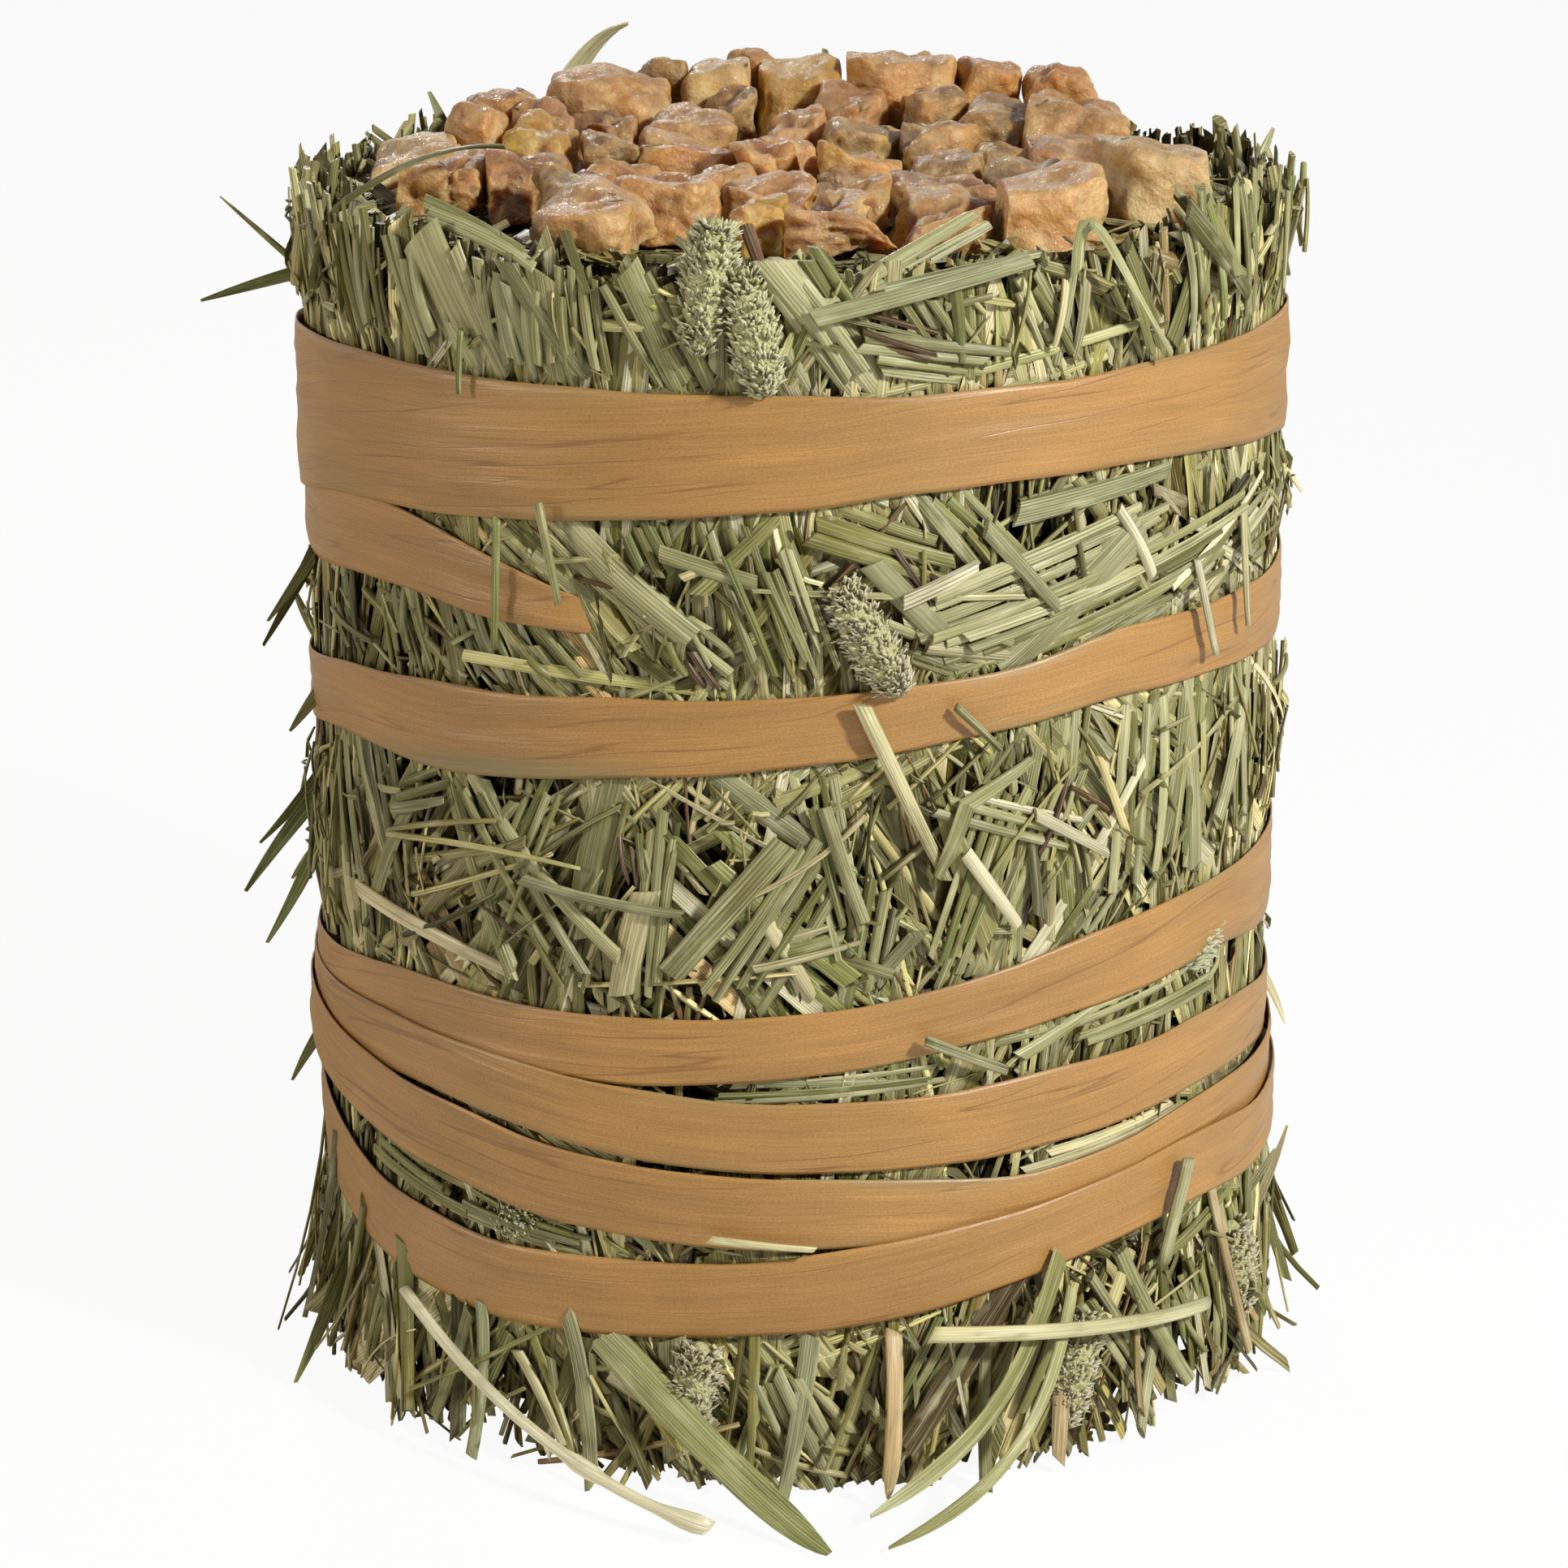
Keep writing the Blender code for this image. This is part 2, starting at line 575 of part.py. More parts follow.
def wrap_in_hull(bm):
    """Replaces the faces with the convex hull of the points."""
    bmesh.ops.delete(bm, geom=bm.edges[:] + bm.faces[:], context="EDGES_FACES")
    hull = bmesh.ops.convex_hull(bm, input=bm.verts)
    inner = [v for v in hull["geom_interior"] if isinstance(v, bmesh.types.BMVert)]
    bmesh.ops.delete(bm, geom=inner, context="VERTS")
    bmesh.ops.recalc_face_normals(bm, faces=bm.faces)


def apple_block(width, depth, height, rng):
    """The hull of a soft, uneven block: three points near each of its corners."""
    bm = bmesh.new()
    for sx in (-1, 1):
        for sy in (-1, 1):
            for sz in (-1, 1):
                for reach in ((1.0, 0.74, 0.72), (0.74, 1.0, 0.72), (0.74, 0.74, 1.0)):
                    x, y, z = (r * rng.uniform(0.88, 1.0) for r in reach)
                    bm.verts.new((sx * x * width / 2, sy * y * depth / 2, sz * z * height / 2))
    wrap_in_hull(bm)
    return bm


def cut_away(bm, point, normal):
    """Cuts off what lies beyond a plane and closes the cut."""
    geometry = bm.verts[:] + bm.edges[:] + bm.faces[:]
    bmesh.ops.bisect_plane(
        bm, geom=geometry, dist=0.000001, plane_co=point, plane_no=normal, clear_outer=True,
    )
    open_edges = [e for e in bm.edges if e.is_boundary]
    if open_edges:
        bmesh.ops.holes_fill(bm, edges=open_edges)
        bmesh.ops.recalc_face_normals(bm, faces=bm.faces)


def make_apple_dice(collection, materials):
    """The dice, each cut flat against the bed and kept clear of its neighbours."""
    rng = random.Random(5)
    for index, (x, y, width, depth, height, turn) in enumerate(APPLE_DICE):
        here = Vector((x, y)) * MM
        bm = apple_block(width * APPLE_SPREAD * MM, depth * APPLE_SPREAD * MM, height * MM, rng)
        centre = Vector((here.x, here.y, APPLE_FLOOR + 0.46 * height * MM))
        tilt = Matrix.Rotation(math.radians(rng.uniform(-6, 6)), 4, "X")
        spin = Matrix.Rotation(math.radians(turn), 4, "Z")
        bmesh.ops.transform(bm, matrix=Matrix.Translation(centre) @ spin @ tilt, verts=bm.verts)
        cut_away(bm, Vector((0, 0, APPLE_FLOOR)), Vector((0, 0, -1)))
        outward = here.normalized().to_3d()
        cut_away(bm, outward * APPLE_REACH, outward)
        own_size = width + depth
        for other, (ox, oy, other_width, other_depth, _, _) in enumerate(APPLE_DICE):
            offset = Vector((ox, oy)) * MM - here
            if other == index or offset.length > 16.0 * MM:
                continue
            share = own_size / (own_size + other_width + other_depth)
            toward = offset.normalized()
            plane = here + offset * share - toward * APPLE_GAP / 2
            cut_away(bm, plane.to_3d(), toward.to_3d())
        bmesh.ops.remove_doubles(bm, verts=bm.verts, dist=APPLE_FINEST)
        wrap_in_hull(bm)
        name = f"apple_dice_{index + 1:02d}"
        new_object(name, bm, collection, materials[index % len(materials)])


def main():
    clear_scene()
    parts = new_collection("Round hay bale")
    hay = new_material("hay", HAY_COLOUR, 0.8)
    blade = new_material("leaf_blade", BLADE_COLOUR, 0.65)
    straw = new_material("straw", STRAW_COLOUR, 0.6)
    ribbon = new_material("paper_ribbon", RIBBON_COLOUR, 0.6)
    apple = [
        new_material(f"dried_apple_{i + 1}", colour, 0.5)
        for i, colour in enumerate(APPLE_COLOURS)
    ]
    make_pressed_hay(parts, hay)
    make_ribbon(parts, ribbon)
    make_loose_pieces(parts, blade, straw)
    make_apple_dice(parts, apple)


main()
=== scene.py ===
"""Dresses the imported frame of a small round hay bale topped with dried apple.

The pieces are in metres in the frame's own place. Tables and stem arrays are in millimetres.
Azimuths are degrees round the bale: 0 at the front, growing to the right.
"""
import math
import random
from collections import namedtuple

import bmesh
import bpy
import numpy as np
from mathutils import Matrix, Vector, noise


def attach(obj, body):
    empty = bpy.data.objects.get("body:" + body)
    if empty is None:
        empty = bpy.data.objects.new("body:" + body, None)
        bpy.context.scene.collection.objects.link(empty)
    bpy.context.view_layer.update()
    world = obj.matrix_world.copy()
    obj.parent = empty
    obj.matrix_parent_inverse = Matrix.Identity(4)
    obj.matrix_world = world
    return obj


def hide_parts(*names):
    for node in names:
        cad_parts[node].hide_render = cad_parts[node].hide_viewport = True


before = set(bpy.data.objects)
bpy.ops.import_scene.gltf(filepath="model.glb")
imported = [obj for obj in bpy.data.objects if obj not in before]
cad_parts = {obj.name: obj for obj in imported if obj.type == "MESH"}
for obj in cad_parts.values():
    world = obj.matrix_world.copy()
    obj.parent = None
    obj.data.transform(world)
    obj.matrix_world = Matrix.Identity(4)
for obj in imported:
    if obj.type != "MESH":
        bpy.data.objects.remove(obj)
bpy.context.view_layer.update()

bl_info = {
    "name": "Round Hay Bale",
    "version": (1, 0, 0),
    "blender": (4, 5, 0),
    "location": "View3D > Sidebar > Hay Bale",
    "description": "Stems, paper ribbon and dried apple dice for a small round hay bale",
    "category": "Object",
}

MM = 0.001
BODY = "root"
# Radii in mm: of the hay under the ribbon, of the curve that stems are bent to, and of the
# one on which the tables of single stems are read.
HAY_RADIUS = 49.15
BEND_RADIUS = 49.0
TABLE_RADIUS = 50
# How much less than the bale's side a stem is bent.
STEM_STIFFNESS = 0.25
# Thin strands on the side, and litter of the bed with how much of it lies between the dice.
STRANDS = 1050
LITTER = 1750
LITTER_BELOW = 600

# The ribbon's course: degrees wound clockwise from the front, seen from above,
# with the heights of its lower and upper edges.
RIBBON_COURSE = (
    (20, 84, 86.5), (36, 84.5, 90.5), (50, 85.5, 93.5), (75, 84.5, 94.5), (100, 85, 96),
    (180, 91, 101.5), (240, 94.5, 106), (277, 96, 108.5), (315, 98.5, 108), (345, 98, 107),
    (360, 96.5, 107), (395, 94, 107), (420, 93, 107.5), (440, 90.5, 107), (470, 88, 104),
    (540, 83, 94), (590, 79, 88), (637, 75.5, 83.5), (680, 76.5, 83), (700, 74.5, 80.5),
    (720, 72.5, 79), (745, 70, 78), (765, 68.5, 77), (780, 69, 76), (800, 66.5, 73.5),
    (850, 61.5, 69), (910, 55.5, 63), (960, 50, 58), (1000, 46, 55.5), (1023, 47.5, 55),
    (1040, 46.5, 54), (1060, 44.5, 51), (1080, 42, 48.5), (1100, 40.5, 47), (1130, 40, 47),
    (1155, 37.5, 44.5), (1190, 36, 43), (1260, 35, 42), (1320, 34, 41), (1359, 33, 39.5),
    (1382, 34.5, 41.5), (1410, 33, 40.5), (1440, 32.5, 39.5), (1460, 33.5, 40.5),
    (1486, 36, 42), (1515, 35.5, 41.5), (1550, 34, 40.5), (1620, 30.5, 37), (1680, 28, 34.5),
    (1728, 26.5, 33), (1746, 26, 33), (1770, 24, 30.5), (1785, 24.5, 31.5), (1800, 25, 32),
    (1825, 25.5, 33), (1845, 28, 35.5), (1875, 31, 38), (1910, 30.5, 37.5), (1980, 27, 34),
    (2040, 23.5, 30.5), (2088, 21.5, 28.5), (2110, 22.5, 29.5), (2130, 20.5, 27.5),
    (2150, 17.5, 25.5), (2165, 16, 23.5), (2193, 14, 22), (2205, 14.5, 22.5),
    (2215, 15.5, 23.5), (2234, 18.5, 27), (2260, 21.5, 30), (2300, 24, 31), (2328, 26, 30.5),
)
RIBBON_RADIUS = 49.5
RIBBON_LAYER_PITCH = 0.5
RIBBON_CLEARANCE = 0.55
RIBBON_STEP = 3

# The table of free room round the ribbon: its rows a millimetre, and its value where no turn is.
ROOMS_A_MM = 2
FAR_FROM_RIBBON = 99.0

# Apple dice from back to front: x, y, width, depth, height and turn in degrees.
APPLE_DICE = (
    (-14.0, 37.5, 5.0, 6.5, 10.2, 4), (-8.1, 35.5, 7.0, 7.5, 10.3, -3),
    (0.5, 35.5, 9.4, 8.0, 10.8, 2), (12.0, 35.0, 10.4, 9.5, 12.2, -4),
    (20.9, 34.0, 6.0, 8.0, 11.0, 6), (28.5, 29.5, 8.0, 8.5, 10.3, -8),
    (-19.7, 28.5, 11.4, 9.0, 9.7, 5), (-30.1, 23.0, 8.4, 9.5, 8.4, 8),
    (-6.7, 26.5, 4.6, 7.0, 7.7, 14), (5.8, 27.0, 7.2, 7.0, 8.8, -12),
    (14.9, 26.0, 6.2, 7.0, 8.3, 8), (21.8, 20.8, 7.0, 9.0, 8.3, -5),
    (-4.6, 40.6, 5.0, 4.0, 11.0, 0), (0.2, 20.0, 6.4, 7.5, 8.0, 10),
    (28.8, 19.0, 10.4, 10.0, 8.0, 7), (-11.4, 17.5, 9.0, 7.5, 7.4, -6),
    (-20.1, 18.5, 6.6, 8.0, 7.6, 16), (-32.0, 14.0, 6.0, 9.0, 8.0, -10),
    (-24.8, 9.0, 8.0, 8.5, 7.3, 5), (7.2, 13.0, 7.0, 8.0, 7.4, -7), (14.4, 12.0, 7.4, 8.0, 7.1, 9),
    (-38.6, 8.0, 8.4, 9.0, 5.6, 6), (-10.2, 4.5, 11.0, 8.0, 6.5, -4),
    (-1.4, 9.5, 4.4, 6.0, 6.6, 12), (15.1, -1.0, 8.0, 9.0, 6.1, -10), (5.7, -1.0, 9.2, 9.5, 6.4, 5),
    (27.5, 5.5, 10.4, 9.0, 5.8, -3), (-18.6, 6.0, 6.4, 8.0, 6.8, 14),
    (-26.2, 16.8, 6.5, 6.5, 8.2, 0), (-2.7, 0.0, 5.2, 7.0, 6.4, -12),
    (20.9, 5.5, 6.0, 7.5, 5.9, 12), (-33.9, -7.0, 8.8, 11.0, 6.3, -8),
    (-27.0, -6.5, 6.0, 12.0, 6.2, -32), (-16.6, -6.5, 7.0, 8.5, 5.6, -5),
    (-6.7, -9.5, 6.0, 7.5, 5.0, 10), (4.5, -11.5, 7.5, 7.0, 5.0, -9),
    (34.5, -12.5, 9.6, 11.5, 8.6, 12), (24.0, -11.5, 8.0, 11.0, 5.4, 14),
    (-20.8, -18.0, 6.5, 9.0, 6.6, 12), (-12.3, -20.5, 8.4, 10.5, 6.2, -8),
    (14.0, -14.0, 9.0, 8.5, 5.3, 6), (-2.6, -17.0, 8.6, 8.0, 5.2, -8),
    (6.0, -21.5, 6.5, 7.0, 5.3, 8), (-18.7, -32.0, 9.8, 10.5, 5.8, -4),
    (-3.2, -30.5, 5.0, 8.5, 4.7, 12), (3.7, -31.5, 8.8, 10.0, 6.0, -6),
    (14.2, -29.5, 8.6, 11.5, 5.9, 8), (23.5, -28.5, 9.6, 12.5, 7.6, -4),
)
APPLE_FLOOR = 116.55
APPLE_REACH = 43.2
APPLE_SPREAD = 1.16

# Colours of dried apple, by name: its flesh, and its hollows painted darker as painted shade.
APPLE_TONES = {
    "cream": ("#D9C295", "#AB793A"), "yellow": ("#D4B651", "#A96D1C"),
    "peach": ("#D3AE7E", "#9E6327"), "orange": ("#CA9659", "#8E5019"),
    "tan": ("#C49F6C", "#824F1C"), "pink": ("#C59C73", "#82491F"),
    "grey": ("#9B815A", "#6A4B1F"), "brown": ("#AA7E56", "#643915"),
}

# Looks of the dice in the same order: colour, how wrinkled it is, how square its edges are.
APPLE_LOOKS = (
    ("grey", 0.4, 4.5), ("cream", 0.2, 6.0), ("yellow", 0.3, 5.5), ("peach", 0.5, 5.0),
    ("orange", 0.4, 5.5), ("orange", 0.8, 4.5), ("peach", 0.5, 4.0), ("brown", 0.6, 4.0),
    ("grey", 0.6, 4.5), ("pink", 0.4, 4.0), ("grey", 0.5, 4.0), ("grey", 0.4, 4.5),
    ("peach", 0.4, 4.0), ("pink", 0.5, 3.6), ("tan", 0.7, 4.0), ("tan", 0.5, 3.6),
    ("brown", 0.8, 4.0), ("pink", 0.5, 4.0), ("yellow", 0.6, 3.6), ("grey", 0.5, 3.6),
    ("grey", 0.6, 3.6), ("cream", 0.4, 5.0), ("orange", 0.6, 4.0), ("peach", 0.3, 5.0),
    ("grey", 0.6, 4.0), ("orange", 0.8, 3.6), ("brown", 0.5, 3.6), ("grey", 0.6, 4.0),
    ("pink", 0.6, 4.0), ("tan", 0.7, 4.0), ("grey", 0.6, 4.0), ("tan", 1.0, 4.5),
    ("brown", 0.6, 4.0), ("tan", 0.6, 4.0), ("tan", 0.6, 3.6), ("grey", 1.2, 4.0),
    ("cream", 0.3, 6.0), ("grey", 0.6, 4.0), ("grey", 0.6, 4.5), ("orange", 0.7, 4.5),
    ("brown", 0.8, 4.0), ("peach", 0.6, 4.0), ("tan", 1.1, 3.6), ("peach", 0.6, 4.0),
    ("yellow", 0.7, 4.0), ("pink", 1.5, 4.0), ("tan", 1.2, 4.5), ("peach", 0.3, 5.5),
)

# Tones of cured timothy, by name.
TONES = {
    "sage": "#A5A370", "pale_sage": "#BDBA8A", "straw": "#D8CF9E", "olive": "#8E8B52",
    "dark_olive": "#605E30", "green": "#878D50", "grey_green": "#A5A67B", "tan": "#C0A676",
    "brown": "#70543A", "umber": "#5E4334", "white": "#E4DDB8", "fresh": "#A0A566",
    "husk": "#D8CBA4",
}
MIXED_TONES = (
    ("sage", 20), ("pale_sage", 22), ("straw", 12), ("olive", 14), ("dark_olive", 6),
    ("green", 8), ("grey_green", 10), ("fresh", 3), ("tan", 2), ("white", 7), ("brown", 1),
)
STRAND_TONES = (
    ("brown", 3), ("dark_olive", 3), ("straw", 5), ("sage", 5), ("pale_sage", 5), ("white", 2),
)

# Long stems on the side: azimuth and height of both ends, width, roundness, tone, lift off the mass.
LONG_STEMS = (
    (-43, 119.6, -36, 107, 6.6, 0.0, "pale_sage", 1.6),
    (-31, 118.2, -23, 108.2, 2.3, 0.4, "sage", 1.6),
    (-2, 119.5, 9, 107, 3.5, 0.1, "pale_sage", 1.9), (-17, 118.5, -12, 107, 2.7, 0.2, "sage", 1.6),
    (-38, 118.5, -33, 107, 2.4, 0.2, "straw", 1.2), (-27, 117.5, -26, 107.5, 3.2, 0.1, "sage", 1.3),
    (2, 114.5, 24, 119, 1.7, 0.5, "grey_green", 2.2),
    (39, 92.8, 23, 80.7, 3.9, 0.2, "pale_sage", 1.9),
    (45, 122, 56, 113.0, 2.3, 0.1, "dark_olive", 2.0), (50, 121.5, 46, 109, 3.0, 0.1, "olive", 1.3),
    (-28, 95.8, -11, 84.6, 3.5, 0.1, "pale_sage", 1.9),
    (-29, 91.2, -6, 78.6, 2.7, 0.2, "pale_sage", 1.7), (11, 88.4, 19, 91, 1.5, 0.2, "white", 2.2),
    (20, 94.7, 28, 86.7, 1.7, 0.4, "grey_green", 2.2), (13, 98, 19, 91, 1.6, 0.3, "sage", 1.6),
    (4, 96, -6, 78.6, 1.4, 0.3, "sage", 1.9), (-1, 96.6, -10, 88.8, 1.7, 0.4, "olive", 1.6),
    (24, 95.5, 45, 97.2, 2.2, 0.2, "grey_green", 1.6), (-14, 92.5, -4, 90.0, 1.6, 0.3, "sage", 1.7),
    (8, 91.8, 15, 85.0, 2.4, 0.1, "grey_green", 1.5), (14, 84, 27, 81.5, 1.8, 0.4, "straw", 1.8),
    (41, 88, 36, 95, 1.1, 0.4, "white", 1.8), (-43, 69, -32, 50.3, 2.0, 0.4, "sage", 2.1),
    (-39, 68.6, -19, 53.7, 1.6, 0.5, "pale_sage", 2.3),
    (-20, 71.7, -24, 54.7, 4.2, 0.0, "sage", 1.5), (-9, 71.6, 6, 62.4, 2.7, 0.1, "grey_green", 1.9),
    (-1, 65.6, -13, 52.5, 2.8, 0.1, "sage", 1.9), (18, 64, 24, 56.3, 1.4, 0.3, "white", 2.3),
    (18, 68.7, 15, 61.9, 1.7, 0.5, "sage", 2.5), (18, 68.7, 26, 72.1, 1.6, 0.5, "sage", 2.5),
    (44, 74.8, 34, 54, 1.9, 0.4, "grey_green", 2.1),
    (13, 56.5, 7, 48.9, 2.0, 0.3, "grey_green", 2.0), (29, 74.7, 32, 54.4, 2.3, 0.2, "green", 1.6),
    (-56, 54.2, -32, 50.3, 1.8, 0.5, "husk", 1.9), (-16, 60.3, -19, 49.7, 3.1, 0.1, "straw", 1.9),
    (-64, 72.7, -51, 56.5, 1.5, 0.4, "sage", 2.0), (26, 67, 35, 62, 1.2, 0.3, "white", 2.1),
    (-30, 60, -12, 58.5, 1.3, 0.6, "grey_green", 2.3), (3, 69, 7, 58, 1.5, 0.4, "pale_sage", 2.1),
    (-3, 58, 2, 50, 1.7, 0.3, "straw", 1.7), (50, 77, 50, 58, 2.0, 0.3, "pale_sage", 1.6),
    (59, 97, 59, 87, 2.0, 0.3, "pale_sage", 1.6), (66, 75.5, 54, 61.6, 2.0, 0.3, "pale_sage", 1.6),
    (57, 90, 66, 100, 1.6, 0.3, "straw", 1.8), (-34, 47, -18, 37, 1.7, 0.3, "grey_green", 1.4),
    (-6, 41.5, 14, 41.0, 1.4, 0.5, "grey_green", 1.4), (26, 42.5, 45, 48.5, 1.6, 0.3, "sage", 1.4),
    (-26, 31, -14, 22.5, 1.7, 0.3, "grey_green", 1.5), (14, 25.5, 32, 28.5, 1.8, 0.2, "sage", 1.4),
    (-20, 22, -12, 21, 1.6, 0.3, "straw", 1.4),
)

# Stems that cross over the ribbon: azimuth and height of both ends, width, tone, lift.
STEMS_OVER_RIBBON = (
    (7, 78.6, 16, 61.4, 1.6, "straw", 1.6), (17, 78, 22, 73.5, 0.8, "sage", 1.5),
    (14, 45.9, 23, 42, 1.1, "pale_sage", 1.9), (-32.6, 94.4, -33.3, 82, 0.8, "green", 1.7),
    (-37, 111.5, -37.5, 105.5, 0.7, "green", 1.6), (-27.5, 96.3, -25.3, 87, 1.0, "sage", 1.6),
    (48, 88.5, 52, 78.5, 1.0, "white", 1.9), (57, 92.5, 59, 80.0, 1.1, "straw", 1.9),
    (49, 28.0, 45, 18.0, 1.7, "pale_sage", 2.2), (-9, 26.4, 2, 25.6, 0.9, "straw", 2.3),
)

# Bundles of stems side by side: azimuth and height of both ends, stem width, count, tone.
# Every bundle is laid with somewhat slimmer and more stems than its row says.
BUNDLE_SLIMMER = 0.78
BUNDLE_FULLER = 1.3
BUNDLES = (
    (-17, 118, -11, 107, 1.6, 4, "sage"), (-2, 120, 8, 107, 1.7, 5, "pale_sage"),
    (-33, 117.5, -31, 107, 1.5, 3, "grey_green"), (-27, 117, -27, 107, 1.6, 3, "olive"),
    (-23, 117, -22, 107, 1.4, 3, "sage"), (-8, 115, -8, 107, 2.4, 1, "pale_sage"),
    (17, 118.5, 18, 107.5, 1.6, 3, "olive"), (12, 117.5, 19, 108, 1.6, 3, "sage"),
    (24, 117.5, 31, 108, 1.3, 3, "pale_sage"), (36, 117.5, 43, 107.5, 1.8, 2, "olive"),
    (30, 117.5, 29, 108, 1.5, 2, "straw"), (47, 122.5, 51, 109, 1.5, 3, "olive"),
    (57, 123, 60, 109, 1.3, 4, "sage"), (67, 123, 69, 109, 1.1, 3, "straw"),
    (-55, 120.5, -53, 108.5, 1.6, 4, "olive"), (-69, 120.5, -63, 108.5, 1.4, 3, "sage"),
    (-47, 119, -43, 108.5, 1.5, 3, "pale_sage"), (5, 114, 14, 111.5, 0.9, 3, "brown"),
    (8, 111, 21, 109, 1.4, 3, "sage"), (-29, 94, -7, 79.5, 1.7, 4, "pale_sage"),
    (-38, 93, -24, 84.5, 1.5, 3, "sage"), (1, 96, 16, 91.5, 2.2, 2, "olive"),
    (13, 86, 42, 93, 1.6, 4, "pale_sage"), (16, 82.5, 56, 90.5, 1.4, 5, "sage"),
    (22, 80.5, 52, 87.5, 1.4, 4, "olive"), (32, 79.5, 64, 89.5, 1.3, 4, "grey_green"),
    (11, 85.5, 23, 80.5, 1.3, 4, "sage"), (46, 84.5, 64, 93, 1.1, 4, "white"),
    (53, 83.5, 68, 92, 1.0, 2, "straw"), (17, 97, 29, 86.5, 1.4, 2, "sage"),
    (-8, 95, -2, 81.5, 1.3, 4, "olive"), (-17, 95, -13, 90, 1.5, 3, "green"),
    (-2, 92.5, 3, 81.5, 1.2, 3, "pale_sage"), (-50, 87, -46, 78.5, 1.4, 3, "sage"),
    (-39, 86, -34, 78, 1.5, 3, "grey_green"), (-30, 83, -24, 78, 1.5, 2, "sage"),
    (-64, 85.5, -58, 77, 1.3, 3, "dark_olive"), (43, 77.5, 40, 57, 1.6, 4, "pale_sage"),
    (53, 77.5, 47, 57.5, 1.5, 4, "sage"), (63, 77, 60, 60.5, 1.3, 4, "straw"),
    (32, 77.5, 28, 63, 1.4, 4, "olive"), (28, 70, 19, 49.5, 1.5, 4, "sage"),
    (23, 70.5, 17, 54, 1.3, 3, "green"), (37, 59, 31, 52, 1.3, 3, "grey_green"),
    (9, 61.5, 7, 49.5, 1.5, 3, "grey_green"), (3, 64, -7, 49.5, 1.5, 4, "sage"),
    (-19, 71, -25, 48, 1.4, 2, "olive"), (-14, 68, -16, 50, 1.6, 2, "sage"),
    (-39, 68.5, -25, 52, 1.5, 3, "grey_green"), (-58, 71.5, -48, 55, 1.4, 4, "dark_olive"),
    (-66, 68, -58, 55, 1.3, 3, "sage"), (-28, 69, -35, 54, 1.3, 3, "sage"),
    (-3, 54.5, 7, 57, 1.5, 2, "straw"), (16, 69, 33, 63.5, 1.3, 2, "white"),
    (2, 71.5, 6, 55, 1.4, 3, "pale_sage"), (-31, 36.5, -19, 31, 1.3, 3, "sage"),
    (19, 45.5, 32, 46, 1.4, 3, "sage"), (32, 44.5, 55, 46.5, 1.3, 4, "pale_sage"),
    (28, 32, 52, 33.5, 1.4, 4, "straw"), (-7, 40.5, 15, 42, 1.2, 3, "grey_green"),
    (-57, 28, -41, 25.5, 1.4, 3, "olive"), (-41, 25.5, -25, 23.5, 1.3, 3, "sage"),
    (44, 18.5, 63, 22, 1.3, 3, "olive"), (-36, 14.5, -41, 3, 1.6, 3, "olive"),
    (-26, 14, -24, 2.5, 1.7, 3, "sage"), (-18, 14.5, -7, 3.5, 1.6, 3, "dark_olive"),
    (-2, 12, 3, 1.5, 1.5, 3, "grey_green"), (18, 16, 11, 5, 1.5, 3, "sage"),
    (29, 16, 23, 5, 1.5, 4, "olive"), (34, 17.5, 46, 2, 1.5, 2, "pale_sage"),
    (50, 16, 54, 8, 1.5, 4, "olive"), (61, 22.5, 65, 3.5, 1.3, 4, "pale_sage"),
    (56, 25, 53, 19, 1.3, 3, "sage"), (-63, 18.5, -75, 4.5, 1.5, 3, "dark_olive"),
    (-54, 17.5, -59, 2.5, 1.5, 3, "olive"), (-50, 64.5, -42, 67.5, 1.5, 2, "umber"),
    (-17.5, 66, -16.5, 60, 0.9, 3, "umber"), (-12, 84.5, -9, 80, 1.0, 3, "umber"),
    (-35, 57, -30, 54, 1.2, 2, "umber"), (11, 92.5, 15, 88, 0.8, 3, "umber"),
    (31, 70, 28, 63, 0.8, 2, "umber"), (-1, 92, 1, 86, 0.9, 2, "umber"),
    (-22, 24.5, -17, 22.5, 0.9, 2, "umber"), (-46, 92, -40, 88.5, 0.9, 2, "umber"),
)

# Stems and a leaf that lean on the apple: control points, width, tone, taper.
CREST_STEMS = (
    (((-44, -20, 119.5), (-38, -21, 124), (-33, -17, 125.5), (-28, -13, 124.5)),
     1.5, "dark_olive", 0.35),
    (((-34, -35, 122), (-29, -39, 120.5), (-24.5, -43.5, 118.8)), 2.4, "olive", 0.35),
    (((-33.5, -36.5, 121.5), (-27, -41, 120), (-23.5, -45, 118)), 1.6, "sage", 0.35),
    (((2, -50.3, 115.5), (9, -47.5, 119), (16, -43.8, 122.6)), 1.7, "sage", 0.35),
    (((3.5, -50.0, 115), (10, -47, 118), (17.5, -43.2, 121.6)), 1.5, "pale_sage", 0.35),
    (((8, -50.5, 117), (15, -48.5, 118.4), (22, -46, 119.4)), 1.1, "grey_green", 0.35),
    (((25.5, -44, 117.5), (25.6, -45.5, 128), (29.0, -47, 118), (34.6, -37.9, 109.1)),
     1.4, "sage", 0.35),
    (((-4.4, -46.5, 122), (-3.6, -48.5, 120), (-2.6, -50.4, 117.6)), 1.3, "brown", 0.35),
    (((-20.8, -43.5, 121), (-19.8, -45.5, 118.5), (-18.6, -47.5, 116)), 1.1, "dark_olive", 0.35),
    (((38, -28, 123), (40, -30, 119), (41.5, -31.5, 115)), 2.2, "olive", 0.35),
    (((-28.5, 41, 113), (-26.5, 40.6, 123), (-22.5, 40.3, 129.5), (-17.9, 40, 130.7)),
     4.4, "straw", 0.9),
)

